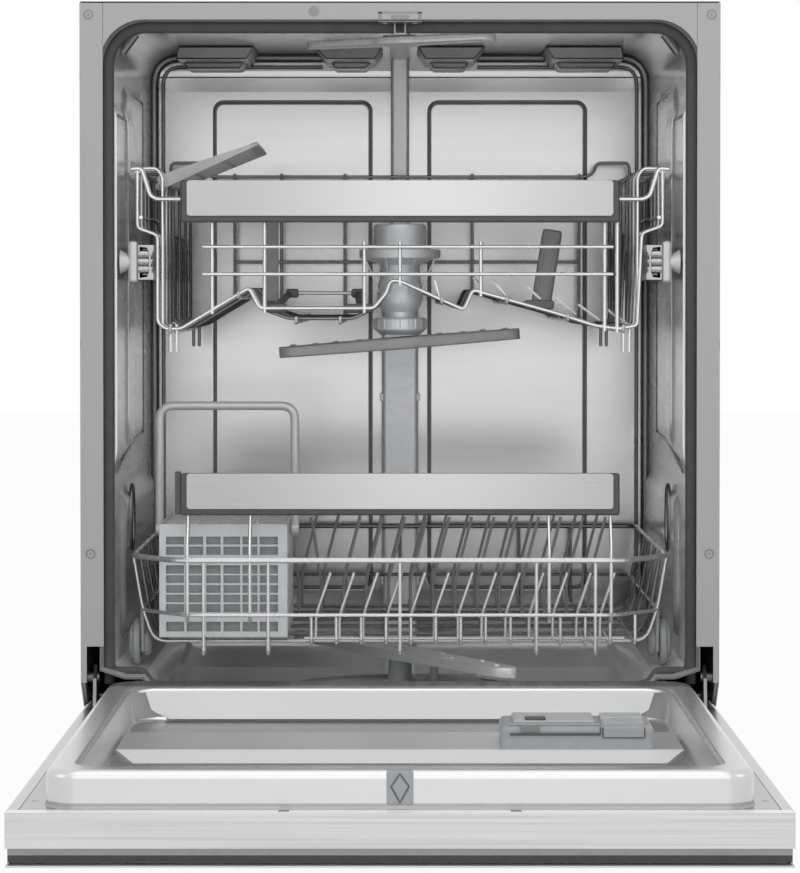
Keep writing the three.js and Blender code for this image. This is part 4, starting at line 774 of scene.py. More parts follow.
def make_door_liner():
    """Inner panel of the door: rings from the floor of its recess up the slopes, over the
    raised rim with a quarter round on each side, down to the plate, and back underneath."""
    t = np.linspace(0, QUARTER, 7)
    rings = []
    for k in t:
        out = 6 * math.sin(k)
        rings.append((239 + 0.4 * out, -536 - out, -99 + out, 34 - out, 159 + 4 * (1 - math.cos(k))))
    for k in t[::-1]:
        back = 5 * math.sin(k)
        rings.append((252 - back, -562 + back, -49 - back, 22, RIM_TOP - 4 * (1 - math.cos(k))))
    for k in t:
        out = 7 * math.sin(k)
        rings.append((265 + out, -575 - out, -4 + out, 25, RIM_TOP - 7 * (1 - math.cos(k))))
    rings += [
        (272, -582, 3, 25, PLATE + 3), (273, -582.3, 5, 25, PLATE + 0.2), (290, -582.6, 82.6, 3, PLATE),
        (290, -582.6, 82.6, 3, PLATE_UNDER), (270, -580, 1, 23, PLATE_UNDER), (270, -580, 1, 23, RIM_TOP - 2),
        (253, -563, -47, 20, RIM_TOP - 2), (240, -541, -95, 32, 157),
    ]
    shape = Shape()
    loft(shape, [
        at_height(rounded((-half, front), (half, back), radius, 8), z)
        for half, front, back, radius, z in rings
    ])
    piece("door_liner", shape, liner_steel, "door", ["door_inner_liner"], smooth=50)


def make_door_platform():
    """Raised field of the recess floor: four corners narrowed towards the front, eased up."""
    rings = []
    for share, z in ((1, 158.9), (0.12, 164.2), (0, 165)):
        half, tip = 238.4 + 0.4 * share, 237 - 17 * share
        right = [(half, -213 + 2 * share), (half, -327 - 2 * share), (tip, -328 - 40 * share)]
        left = [(-x, y) for x, y in right[::-1]]
        rings.append(np.array([(x, y, z) for x, y in (right + left)[::-1]]))
    rings.insert(0, rings[0] - [0, 0, 0.6])
    shape = Shape()
    loft(shape, rings)
    piece("door_platform", shape, recess_steel, "door", smooth=30)


def make_far_slope():
    """Far slope of the recess with rounded upper ends, the edge of the plate, and the field's sloping
    front with its edge, in near-white steel: painted light, its edges painted highlights."""
    shape = Shape()
    right = [(209, -97), (226, -84), (241, -68), (246, -61), (247.5, -57), (247, -53)]
    prism(shape, np.array(right + [(-x, y) for x, y in right[::-1]]), 0.4, 0.9, "z")
    shape.tilt(163, -93, 0.4615)
    # painted highlight: the plate's edge as a near-white strip
    soft_block(shape, (-DOOR_LIP_HALF, -599.5, 154.4), (DOOR_LIP_HALF, -584, 155.06), 0.2, "x")
    facet = Shape()
    front = np.array([(237.6, -328), (220.8, -367), (-220.8, -367), (-237.6, -328)])
    prism(facet, front[::-1], 0.15, 0.5, "z")
    facet.tilt(159.2, -368, 0.1475)
    # painted highlight: a near-white line along the field's edge
    tube(facet, [(-238, -327.6, 165), (238, -327.6, 165)], 0.6, 6, Z_NORMAL)
    piece("door_platform_facet", facet, painted_light_steel, "door", smooth=30)
    piece("door_far_slope", shape, painted_light_steel, "door", smooth=30)


def make_door_details():
    """Small slots in the inner plane as dark plates of painted shade, the seal along the recess's far
    edge, the grip's dark line and band as painted shade in its recess, screws at the hinge arms and
    the cap's bright edge."""
    dark = Shape()
    # painted shade: dark plates for the shade in the slots
    for x in (-88.2, 88.2):
        soft_block(dark, (x - 4.2, -592.5, 154.6), (x + 4.2, -586.5, 155.15), 0.1, "z")
    for x in (-281, 281):
        for y in (-540, -300, -60):
            soft_block(dark, (x - 4, y - 1.2, 154.8), (x + 4, y + 1.2, 155.12), 0.1, "z")
    tube(dark, [(-247, -4.5, 184.4), (247, -4.5, 184.4)], 0.9, 8, Z_NORMAL)
    # painted shade: a dark line for the grip's recess
    soft_block(dark, (-DOOR_LIP_HALF, -588.6, 115.8), (DOOR_LIP_HALF, -587.1, 121.2), 0.4, "x")
    piece("door_seal_and_painted_shade", dark, seal_rubber_and_shade, "door")
    # painted shade: the grip's band in darker hinge steel, though its slot is the door's steel
    band = blocks(((-DOOR_LIP_HALF, -588.7, 120.8), (DOOR_LIP_HALF, -587.1, 127.8), 0.4, "x"))
    piece("door_grip_painted_shade", band, hinge_steel, "door", slot="door_steel")
    bright = Shape()
    for x in (-268, 268):
        for y in (20, 60):
            disc(bright, [(3.4, 154.9), (3.4, 156.2), (2.6, 156.9)], (x, y), 16)
    soft_block(bright, (-298.4, -599.8, 113.6), (298.4, -597.6, 115.2), 0.5, "x")
    piece("door_bright_marks", bright, brushed_steel, "door")


# Tub

TUB, COLLAR = (271, 808, 30), (279.9, 803, 41)
SHEET = 1.4
SILL = 173
TUB_FRONT, TUB_REAR, COLLAR_FRONT = 42.2, 524.6, 1.7
WALL_SAMPLES = 66
BACK_WALL = 521.8
# Low corner, high corner, corner radius and depth of the side walls' fields, in y and z
WALL_FIELDS = (
    ((30, 389), (223, 717), 12, 3), ((150, 400), (359, 747), 12, 3), ((120, 214), (500, 352), 22, 4.5),
)
FIELD_LINES = (
    ((46, 717), (223, 717), (223, 399), (46, 378)), ((226, 747), (359, 747), (359, 402), (226, 399)),
)
# Low and high edge of a rib from the middle, and its slant
CEILING_RIBS = ((27, 78, 12), (162, 236, -2))


def tub_ring(y, half, ceiling, corner, basin, out=0.0):
    """Outline of the tub across, at y: ceiling, walls, ledges and basin, moved out by a wall."""
    c = corner + out
    t = np.linspace(0, QUARTER, 9)
    top = ceiling + out
    left = np.stack([-half - out + c * (1 - np.cos(t)), top - c * (1 - np.sin(t))], axis=1)
    heights = np.linspace(194, top - c, WALL_SAMPLES, endpoint=False)
    wall = np.column_stack([np.full(WALL_SAMPLES, -half - out), heights])
    low = np.array([
        (-225, basin - out), (-233 - out, basin + 5 - out), (-237 - out, 182),
        (-241 - out * 0.5, 187.5 - out), (-258, 187.5 - out),
    ])
    ridge = np.linspace(-half + c, 0, WALL_SAMPLES)[1:-1]
    ridge = np.column_stack([ridge, np.full(len(ridge), top)])
    half_ring = np.concatenate([low, wall, left, ridge])
    return at_depth(np.concatenate([half_ring, [[0, top]], half_ring[::-1] * [-1, 1]]), y)


def wall_relief(x, y, z):
    """Stepped panels pressed into the side walls: how far the wall moves inwards."""
    lift = 0.0
    for low, high, radius, depth in WALL_FIELDS:
        lift = lift + depth * (1 - step_up(box_distance(y, z, low, high, radius), 0, 3))
    return np.where(np.abs(x) > TUB[0] - 0.6, lift, 0.0)


def basin_height(y):
    """Height of the tub's floor: it falls from the sill to the filter and rises to the back."""
    return np.interp(y, [42, 140, 400, 525], [SILL, 152.4, 152.4, 162.0])


def make_tub():
    """Tub as one folded sheet: rings from the back wall forward inside, the step of the
    collar, its front edge, and the same rings back outside."""
    depth = np.concatenate([np.linspace(TUB_FRONT, TUB_REAR, 90), [96, 120, 150, 492, 500, 506]])
    depth = np.unique(depth)
    rings = []
    for y in depth[::-1]:
        ring = tub_ring(y, *TUB, basin_height(y))
        ring[:, 0] -= np.sign(ring[:, 0]) * wall_relief(*ring.T)
        rings.append(ring)
    for y, basin in ((TUB_FRONT - 0.6, SILL), (COLLAR_FRONT, SILL + 3)):
        ring = tub_ring(y, *COLLAR, basin)
        ring[:, 2] = np.maximum(ring[:, 2], SILL)
        rings.append(ring)
    rings += [tub_ring(COLLAR_FRONT, *COLLAR, SILL + 3, SHEET), tub_ring(42.0, *COLLAR, SILL, SHEET)]
    rings += [tub_ring(y, *TUB, basin_height(y), SHEET) for y in depth[::9]]
    rings.append(tub_ring(526.3, *TUB, 161.0, SHEET))
    shape = Shape()
    loft(shape, rings)
    piece("tub_shell", shape, wall_steel, "cabinet", ["tub"], smooth=35)


def make_tub_back():
    """Back wall: a sheet whose two tall panels are framed by grooves, one along the rounded
    rectangle where its distance is zero. Dark lines in the grooves are painted shade."""
    inner, outer, low, high, corner = 32, 202, 226, 756, 10
    x = spaced(-262.5, 262.5, 12, 0.7, (-outer, -inner, inner, outer), 11)
    z = spaced(166, 790, 14, 0.7, (high, low), 11)
    grid_x, grid_z = np.meshgrid(x, z)
    away = box_distance(np.abs(grid_x), grid_z, (inner, low), (outer, high), corner)
    seam = np.abs(grid_z - 783)
    depth = 1.9 * (1 - step_up(np.abs(away), 1.5, 1.6)) + 1.4 * (1 - step_up(seam, 1.2, 1.4))
    shape = Shape()
    slab(shape, np.stack([grid_x, BACK_WALL + depth, grid_z], axis=-1), (0, 0.5, 0))
    piece("tub_back_panels", shape, back_steel, "cabinet", smooth=30)
    # painted shade: dark lines for the shade in the grooves
    dark = Shape()
    for left, right in ((-outer, -inner), (inner, outer)):
        tube(dark, at_depth(rounded((left, low), (right, high), corner, 8), 523.4), 0.85, 6, loop=True)
    piece("tub_back_painted_shade_lines", dark, hinge_steel, "cabinet")


def make_ceiling_ribs():
    """Ribs pressed down from the ceiling near the back wall, wide outside, narrow inside, in dark
    steel as painted shade, and dark lines of painted shade: in the back's seam, along the rounded
    edges of the tub, the edges of the side walls' fields, and an oval on each."""
    rear = BACK_WALL - 0.2
    shape = Shape()
    for _, side in SIDES:
        for low, high, slant in CEILING_RIBS:
            outline = np.array([(low - 9, 807.6), (low, 794), (high, 794), (high + slant, 807.6)])
            prism(shape, outline * [side, 1], 396, rear, "y")
            step = np.array([(low + 4, 795), (low + 9, 788), (high - 9, 788), (high - 4, 795)])
            prism(shape, step * [side, 1], 452, rear, "y")
    # painted shade: the ribs in dark steel
    piece("ceiling_ribs", shape, zinc_and_shade_steel, "cabinet", smooth=35, bevel=1.6)
    # painted shade: dark lines in the tub's creases
    marks = Shape()
    tube(marks, [(-263, rear, 783), (263, rear, 783)], 0.7, 6)
    for _, side in SIDES:
        tube(marks, [(side * 269.5, 120, 781), (side * 256, 120, 799)], 4.5, 12)
        for inset, radius in ((0, 5), (10, 2)):
            wall, top = side * (268 - inset), 804 - inset
            edge = [(wall, 519, 172), (wall, 519, top), (side * 84, 519, top)]
            tube(marks, bent(edge, 30 - inset, 9), radius, 10)
        for outline in FIELD_LINES:
            path = [(side * 268.6, y, z) for y, z in outline]
            tube(marks, bent(path, 6), 1.5, 8, X_NORMAL)
        oval = circle(1, 32) * [17, 32] + [196, 325]
        tube(marks, np.insert(oval, 0, side * 266.4, axis=1), 2.2, 8, X_NORMAL, loop=True)
    piece("tub_painted_shade_lines", marks, zinc_and_shade_steel, "cabinet", smooth=50)


def make_flange_details():
    """Screws and a plug in the front flange, rings round them, and the strike's plate in the
    crossmember."""
    screws, plug = ((-290.6, 807.6), (290.6, 807.6), (-289.4, 304), (289.4, 304)), (-80.4, 810.6)
    head = [(0.01, 0.8), (0.01, -0.1), (1.2, -0.1), (1.6, 0.3), (3.3, -0.1), (4.4, -0.02), (4.4, 0.8)]
    shape, rings = Shape(), Shape()
    for place in screws:
        lathe(shape, head, place, 24, "y")
        tube(rings, at_depth(circle(4.9, 28) + place, 0.25), 0.35, 6, loop=True)
    lathe(shape, [(0.01, 0.8), (0.01, -0.08), (3.9, -0.1), (4.6, -0.02), (4.6, 0.8)], plug, 28, "y")
    piece("flange_screws", shape, zinc_and_shade_steel, "cabinet", smooth=35, slot="cabinet")
    tube(rings, at_depth(circle(5.1, 28) + plug, 0.25), 0.35, 6, loop=True)
    for x in (-18.5, 18.5):
        soft_block(rings, (x - 2, -0.1, 802.5), (x + 2, 0.6, 810.4), 0.4)
    soft_block(rings, (-20.6, -0.1, 808.4), (20.6, 0.6, 810.6), 0.3)
    soft_block(rings, (-9, -0.1, 803.4), (9, 0.6, 807.4), 0.4)
    piece("strike_plate", rings, zinc_and_shade_steel, "cabinet", smooth=35, slot="hinge_steel")


LOUVRES, LOUVRE_PITCH = 6, 24
# Sideways place and radius of the rear sheet's ports, and their height
PORTS, PORTS_Z = ((-150, 13), (110, 15), (195, 9)), 150


def make_outer_sheets():
    """Rear panel with a pressed frame, louvres and recessed ports, and the top cover with a
    pressed frame: grids whose depth follows distances to rounded rectangles and circles."""
    x = spaced(-283.5, 283.5, 16, 2.2, (-240, 240, -180, 180), 8)
    z = spaced(60.2, 818.6, 16, 2.2, (110, 770, 190), 9)
    z = np.unique(np.concatenate([z, np.arange(230, 390, 2.5), np.arange(120, 180, 2.5)]))
    x = np.unique(np.concatenate([x, np.arange(-210, -90, 2.8), np.arange(90, 225, 2.8)]))
    grid_x, grid_z = np.meshgrid(x, z)
    frame_line = np.abs(box_distance(grid_x, grid_z, (-240, 200), (240, 770), 18))
    depth = 1.1 * (1 - step_up(frame_line, 2, 3))
    for z in 240 + LOUVRE_PITCH * np.arange(LOUVRES):
        louvre = box_distance(grid_x, grid_z, (-205, z), (-95, z + 10), 5)
        depth = np.maximum(depth, 1.2 * (1 - step_up(louvre, -1, 2)))
    ports = Shape()
    for x, radius in PORTS:
        away = np.hypot(grid_x - x, grid_z - PORTS_Z)
        depth = np.maximum(depth, 1.1 * (1 - step_up(np.abs(away - 20), 2, 2)))
        profile = [(0.01, 558.6), (0.01, 559.4), (radius - 3, 559.5), (radius, 559.98), (radius + 2, 559.98),
                   (radius + 2, 558.6)]
        lathe(ports, profile, (x, PORTS_Z), 36, "y")
    back = Shape()
    slab(back, np.stack([grid_x, 559.97 - depth, grid_z], axis=-1), (0, -0.6, 0))
    piece("rear_sheet", back, cabinet_steel, "cabinet", ["rear_panel"], smooth=30)
    piece("rear_ports", ports, dark_plastic, "cabinet", smooth=35)
    x = spaced(-298.9, 298.9, 20, 2.2, (-250, 250), 8)
    y = spaced(0.1, 559.9, 20, 2.2, (50, 510), 8)
    grid_x, grid_y = np.meshgrid(x, y)
    frame_line = np.abs(box_distance(grid_x, grid_y, (-250, 50), (250, 510), 22))
    depth = 0.75 * (1 - step_up(frame_line, 2, 4))
    top = Shape()
    slab(top, np.stack([grid_x, grid_y, 819.98 - depth], axis=-1), (0, 0, -0.35))
    piece("top_sheet", top, cabinet_steel, "cabinet", ["top_cover"], smooth=30)


def arch(half, foot, top, radius, steps):
    """Open path from the left foot up, over two quarter circles, down to the right foot."""
    t = np.linspace(0, QUARTER, steps + 1)
    left = np.stack([-half + radius * (1 - np.cos(t)), top - radius * (1 - np.sin(t))], axis=1)
    return np.concatenate([[[-half, foot]], left, left[::-1] * [-1, 1], [[half, foot]]])


def make_gasket():
    """Door seal: a flat hollow section carried round the mouth of the tub, where each point
    of it draws the arch made smaller by its inset, and a round bead along the sill."""
    half, top, radius = COLLAR[0] + 0.1, COLLAR[1], COLLAR[2]
    profile = [
        (0.2, 40.6), (0.2, 31.6), (1.2, 30.4), (3.6, 30.0), (7.2, 30.6), (9.4, 32.4), (10.2, 35.2),
        (9.6, 38.6), (7.6, 40.8),
    ]
    rings = np.array([
        at_depth(arch(half - inset, 178.4, top - inset, radius - inset, 14), y) for inset, y in profile
    ])
    m, n = rings.shape[:2]
    ends = [[k * n for k in range(m)], [k * n + n - 1 for k in range(m)]]
    shape = Shape()
    shape.add(rings, quads(m, n, True, False) + ends)
    left = [(-272, 36, 196), (-272, 36, 190.8), (-243, 36, 190.8), (-236, 36, 180), (-226, 36, 177)]
    sill = left + [(-x, y, z) for x, y, z in left[::-1]]
    tube(shape, bent(sill, 5), 3.3, 10)
    piece("door_seal", shape, seal_rubber_and_shade, "cabinet", ["tub_gasket"], smooth=60)


# Wash system

# Half width of an arm at shares of its length
ARM_SHARES, ARM_HALVES = (0, 0.12, 0.2, 1), (19.5, 19.5, 16.5, 12.6)
ARM_SQUARENESS = 0.35
MIDDLE_ARM = (0, 252)
# Share of an arm and sideways place of its nozzles
NOZZLES = ((0.34, 6), (0.52, -6), (0.7, 5), (0.88, -3))


def spray_arm(name, body, centre, low, half, yaw, tilt=0.0, thick=4.2, material=duct_plastic):
    """Arm as rounded sections along its length: the width falls from root to tip, ends
    close on a quarter circle, and the whole is turned by its yaw and tilt. It has a hub,
    nozzles and a ridge on each side."""
    shape = Shape()
    u = np.linspace(-1, 1, 49)
    reach = half - 1.2
    across = np.interp(np.abs(u), ARM_SHARES, ARM_HALVES)
    across = across * np.sqrt(np.clip(1 - np.clip((np.abs(u) - 0.9) / 0.1, 0, 1) ** 2, 0.03, 1))
    section = circle(1.0, 24)
    section = np.sign(section) * np.abs(section) ** ARM_SQUARENESS
    rings = np.empty((len(u), len(section), 3))
    rings[:, :, 0] = (u * reach)[:, None]
    rings[:, :, 1] = across[:, None] * section[:, 0]
    rings[:, :, 2] = low + 4.5 + (thick - 0.9 * np.abs(u))[:, None] * section[:, 1]
    loft(shape, rings)
    disc(shape, [(17, low + 0.4), (18.6, low + 1.2), (18.6, low + 7.2), (16.5, low + 8.8), (8.5, low + 8.9)],
         (0, 0), 40)
    for _, side in SIDES:
        for share, offset in NOZZLES:
            nozzle = [(3.4, low + 6.5), (3.1, low + 4.9 + thick), (1.6, low + 5.2 + thick), (1.4, low + 7.6)]
            disc(shape, nozzle, (side * share * reach, side * offset), 12)
        ridge = [(side * 24, 0, low + 8.3), (side * reach * 0.86, 0, low + 7.9)]
        tube(shape, ridge, 1.1, 8, Z_NORMAL, flat=0.6)
    shape.turn("y", tilt, (0, 0, low + 4.5))
    shape.turn("z", yaw)
    shape.move([*centre, 0])
    piece(name, shape, material, body, [body], smooth=50)


def make_manifold():
    """Middle arm's supply: duct to the back, ribbed head, flange, dome, stem and nut."""
    shape = Shape()
    soft_block(shape, (-17, 262, 584.3), (17, 496, 603.6), 3)
    profile = [
        (19.5, 506), (26.5, 511.4), (26.8, 513), (26.8, 521.5), (25.5, 523), (16, 523.5), (16, 529),
        (19.8, 533), (22.6, 540), (23.4, 549), (21.5, 559), (19.9, 566), (20, 576), (28, 580),
        (40.6, 583.2), (40.9, 585), (40.9, 590.6), (40, 591.8), (28.5, 592), (27, 594), (26.8, 614),
        (25, 617.2), (20, 617.8), (8, 617.9),
    ]
    disc(shape, profile, MIDDLE_ARM, 56)
    for out in circle(1.0, 20):
        at = out * 26.4 + MIDDLE_ARM
        tube(shape, [(*at, 512.4), (*at, 521.8)], 0.8, 6, (*out, 0))
    for out in circle(1.0, 16)[1::2]:
        path = [(*(out * radius + MIDDLE_ARM), z) for radius, z in ((24, 549), (30, 566), (38, 582.6))]
        tube(shape, path, 0.9, 6, (-out[1], out[0], 0))
    piece("spray_manifold_shell", shape, duct_plastic, "upper_rack", ["spray_manifold"])


def make_feed_pipe():
    """Pipe up the back wall, wide below and slim above, with its run under the ceiling."""
    shape = Shape()
    wide, slim, front, rear = 19.8, 9.9, 503.2, 521.4
    soft_block(shape, (-wide, front, 164), (wide, rear, 548), 5, "z")
    rings = []
    for share in np.linspace(0, 1, 7):
        half = wide + (slim - wide) * step_up(share, 0.5, 1.0)
        rings.append(at_height(rounded((-half, front), (half, rear), 5), 546 + share * 26))
    loft(shape, rings)
    soft_block(shape, (-slim, front, 570), (slim, rear, 806.6), 4, "z")
    soft_block(shape, (-9.9, 160, 801), (9.9, 521, 807.4), 2)
    disc(shape, [(13, 503.4), (13, 497.6), (12, 496.9), (9, 496.9), (9, 500)], (0, 594), 32, "y")
    for z in (230, 330, 430):
        soft_block(shape, (-21.4, 505, z), (21.4, rear, z + 9), 1.2, "z")
    disc(shape, [(17, 801.4), (17, 800.4), (11, 800.2)], (0, 172), 32)
    piece("feed_pipe_shell", shape, duct_plastic, "cabinet", ["feed_pipe"])


def make_filter():
    """Filter cup with its grip, ribs and post, and the ring round the sump."""
    cup = Shape()
    profile = [
        (26, 100.4), (32.8, 101.6), (32.8, 152), (36.8, 153), (36.8, 158.6), (35.6, 159.9),
        (31.2, 159.9), (30.8, 158), (30.8, 112), (4, 111),
    ]
    disc(cup, profile, (46, 222), 48)
    soft_block(cup, (15.4, 219.2, 154.4), (76.6, 224.8, 165.8), 1.8, "x")
    for at in circle(34.2, 12) + [46, 222]:
        tube(cup, [(*at, 158.2), (*at, 160)], 1.3, 6, X_NORMAL)
    disc(cup, [(4.2, 158), (4.2, 175), (3, 176)], (34, 205), 20)
    rim = Shape()
    tube(rim, at_height(circle(124, 96) + [0, 186], 153), 2.6, 8, Z_NORMAL, loop=True)
    piece("basin_ring", rim, tub_steel, "cabinet", smooth=60)
    piece("filter_cup", cup, grey_plastic, "filter_cylinder", ["filter_cylinder"], smooth=35)


def make_dispenser():
    """Dispenser in the door: frame with rounded edges and a label field, dark lines, a sliding
    lid with its square button, a rinse aid flap and its dial."""
    dark = blocks(
        ((92, -329.2, 177.4), (168, -327.4, 179.6), 0.5), ((167.4, -328.8, 178), (168.4, -327.4, 185), 0.3),
        ((169.6, -329, 175.6), (170.4, -327.4, 184.6), 0.2),
        ((204.6, -329, 175.6), (205.4, -327.4, 184.6), 0.2), ((170, -329, 175.2), (205, -327.4, 176), 0.2),
    )
    piece("dispenser_lines", dark, dark_plastic, "door", smooth=35)
    button = blocks(((100.5, -329.4, 180.6), (117, -327.2, 186.4), 0.6))
    piece("dispenser_catch", button, flap_plastic, "door", smooth=35, slot="grey_plastic")
    body = blocks(
        ((85, -328, 150), (213, -256, 185.6), 5, "z"), ((91, -325.5, 184.8), (168, -320, 187.2), 1.2, "x"),
        ((170.5, -329.6, 176), (204.5, -327.4, 184), 0.8),
    )
    piece("dispenser_frame", body, grey_plastic, "door", ["dispenser_body"], smooth=35, bevel=0.5)
    lid = blocks(
        ((95.2, -319.8, 186.3), (163.8, -264.2, 188.8), 1.2, "z"),
        ((97, -317, 188.4), (104, -267, 189.5), 0.6, "z"),
        ((124, -318.6, 188.5), (161, -317.2, 189.3), 0.4, "z"),
    )
    piece("tablet_lid", lid, lid_plastic, "dispenser_lid", ["dispenser_lid"], smooth=35)
    latch = blocks(((105.5, -317.5, 188.6), (122.5, -300, 190.4), 1.4, "z"))
    piece("tablet_lid_button", latch, dark_plastic, "dispenser_lid", smooth=35)
    flap = blocks(
        ((170.2, -287.8, 186.3), (205.8, -264.2, 188.8), 1.4, "z"),
        ((176, -286, 188.5), (200, -279, 190), 0.8, "z"),
    )
    piece("rinse_flap", flap, lid_plastic, "rinse_aid_lid", ["rinse_aid_lid"], smooth=35)
    dial = blocks(((169, -318, 185.2), (206, -291, 187.6), 3, "z"))
    disc(dial, [(8, 187.2), (8, 188.6), (7.2, 189)], (188, -304.5), 28)
    piece("rinse_dial", dial, lid_plastic, "door", smooth=35)


def make_latch():
    """Catch in the rim's near face with its diamond relief, and the strike above."""
    catch = Shape()
    soft_block(catch, (-10.3, -583.4, 158.4), (10.3, -569, 184.6), 1.6)
    diamond = np.array([(0, 180.5), (5.6, 172.5), (0, 162.5), (-5.6, 172.5)])
    prism(catch, diamond, -584.4, -582.8, "y")
    piece("catch_body", catch, grey_plastic, "door", ["latch_catch"], smooth=35)
    groove = Shape()
    middle = np.array([0, 171.5])
    corners = at_depth(middle + (diamond - middle) * 1.25, -583.6)
    for start, stop in zip(corners, np.roll(corners, -1, axis=0)):
        tube(groove, [start, stop], 0.45, 6)
    piece("catch_groove", groove, dark_plastic, "door")
    strike = Shape()
    soft_block(strike, (-20.8, 1.6, 800.8), (20.8, 30.4, 802.6), 0.8)
    for x in (-4.9, 4.9):
        soft_block(strike, (x - 0.9, 14.8, 789.8), (x + 0.9, 27.4, 802.4), 0.6)
    soft_block(strike, (-5, 14.8, 789.8), (5, 17, 792), 0.6)
    for x in (-14, 14):
        disc(strike, [(3.2, 801.2), (3.2, 799.8), (2.2, 799.3)], (x, 12), 16)
    piece("strike_loop", strike, hinge_steel, "cabinet", ["latch_strike"], smooth=35)


# Runners, fold-down pieces and cutlery basket

SLIDE_BALL = np.array([(0.01, 233.6), (3.4, 234.6), (4.2, 240), (4.2, 248.4), (0.01, 248.4)])
SLIDE_SECTION = np.array([
    (233.4, 560.4), (248.4, 560.4), (248.4, 567.5), (246.6, 567.5), (246.6, 562.4), (240, 563.2),
    (238.2, 568), (238.2, 586), (240, 590.8), (246.6, 591.6), (246.6, 586.5), (248.4, 586.5),
    (248.4, 593.6), (233.4, 593.6), (233.4, 588), (236, 584), (236, 570), (233.4, 566),
])


def make_runners():
    """Rails on the tub's walls with end caps, steel slides of C section, height brackets."""
    for hand, side in SIDES:
        rail = Shape()
        soft_block(rail, (side * 249.2, 44.2, 560.4), (side * 255.8, 504.8, 593.6), 2)
        for y in (84, 465):
            disc(rail, [(9, side * 255), (9, side * 265.5), (5, side * 267)], (y, 577), 24, "x")
        soft_block(rail, (side * 248.2, 44, 557.5), (side * 256, 52, 596.5), 2.5)
        piece("rail_" + hand, rail, grey_plastic, "cabinet", ["runner_rail_" + hand])
        cap = blocks(((side * 248.6, 43.6, 558), (side * 257.4, 47.6, 597.2), 3))
        cone = np.array([(0.01, 256), (6.5, 256), (11.5, 265.4), (0.01, 265.4)])
        lathe(cap, cone * [1, side], (51, 577.6), 20, "x")
        piece("rail_cap_" + hand, cap, pale_plastic, "cabinet", slot="grey_plastic")
        slide = Shape()
        for z in (570.3, 577.6, 584.9):
            lathe(slide, SLIDE_BALL * [1, side], (48.6, z), 16, "x")
        prism(slide, SLIDE_SECTION * [side, 1], 44.3, 504.7, "y")
        soft_block(slide, (side * 236.6, 50, 564), (side * 246, 62, 591), 2)
        piece("slide_" + hand, slide, runner_chrome, "upper_runners", ["runner_slide_" + hand],
              bevel=0.4)
        bracket = Shape()
        low, high = sorted((side * 235.8, side * 240.3))
        soft_block(bracket, (low, 212.3, 594.4), (high, 291.7, 654.6), 4, "x")
        for z in range(602, 651, 7):
            soft_block(bracket, (low - 0.3, 218, z), (high + 0.2, 286, z + 2.4), 0.8, "x")
        soft_block(bracket, (low - 0.6, 236, 640), (high + 0.4, 268, 652), 2, "x")
        piece("height_bracket_" + hand, bracket, dark_plastic, "upper_runners", ["height_adjuster_" + hand])


def make_cup_shelf():
    """Cup shelf: a rounded frame with bars across it, hinge knuckles, tilted up on its pivot."""
    shape = Shape()
    for low, high in ((0.5, 9), (95, 103.6), (34, 38), (66, 70)):
        soft_block(shape, (low, 72.4, 0.3), (high, 284.6, 3.2), 1.3)
    for y in np.linspace(72.4, 277.8, 9):
        soft_block(shape, (3, y, 0.4), (102, y + 6.6, 3.1), 1.2, "x")
    for y in (80, 140, 200, 260):
        soft_block(shape, (-3.6, y, -3.6), (3.6, y + 18, 3.6), 3.4)
    for y in np.linspace(100, 255, 6):
        soft_block(shape, (94, y - 3, 1.5), (103.4, y + 3, 5.8), 1.4, "x")
    end = np.array([(2.5, -4), (99, 0.6), (99.5, 2.4), (92, 4.4), (60, 6.5), (4, 9), (1.5, 6)])
    prism(shape, end, 72.2, 75.4, "y")
    shape.turn("y", -22)
    shape.move([-231.3, 0, 650])
    piece("shelf_for_cups", shape, lid_plastic, "cup_shelf", ["cup_shelf"])


# Ends across, depth and height
LEVER_CLIPS = ((118, 147, 66, 538), (-127, -108, 66, 534.5), (-52, -26, 66, 534.5), (-111, -98.5, 130, 549),
               (-47.5, -35, 130, 549))


def make_flap():
    """Folding lever on the rack floor: a slim, leaning plate with two ribs. Beside it the
    still lever, and the clips that hold both."""
    shape = blocks(
        ((-9.6, 118.3, 0.3), (9.6, 121.8, 78), 3), ((-7, 117.2, 8), (-4.6, 118.8, 70), 0.7),
        ((4.6, 117.2, 8), (7, 118.8, 70), 0.7),
    )
    shape.turn("y", 9)
    shape.move([136, 0, 532.2])
    piece("fold_lever", shape, flap_plastic, "folding_flap", ["folding_flap"])
    clips = Shape()
    for x0, x1, y, z in LEVER_CLIPS:
        soft_block(clips, (x0, y - 3.6, z - 5.6), (x1, y + 3.6, z + 3.2), 2.4, "x")
    for x0, x1 in ((-118, -108), (-38, -41)):
        tube(clips, [(x0, 68, 535), (x1, 130, 547)], 3.4, 10, X_NORMAL)
    still = blocks(((-130.3, 118, 540), (-117.8, 121, 634), 1.4))
    piece("still_lever", still, flap_plastic, "upper_rack")
    piece("rack_clips", clips, dark_plastic, "upper_rack")


def grid(shape, uprights, levels, low, high, turned=False):
    """Flat grid of bars between two depths: each bar is a pair of edges in width or height."""
    left, right = uprights[0][0], uprights[-1][1]
    floor, top = levels[0][0], levels[-1][1]
    bars = [(x0, x1, floor + 0.1, top - 0.1, 0.0) for x0, x1 in uprights]
    bars += [(left + 0.1, right - 0.1, z0, z1, 0.15) for z0, z1 in levels]
    for x0, x1, z0, z1, inset in bars:
        start, stop = (x0, low + inset, z0), (x1, high - inset, z1)
        if turned:
            start, stop = (low + inset, x0, z0), (high - inset, x1, z1)
        soft_block(shape, start, stop, 0.35, "z", 1)


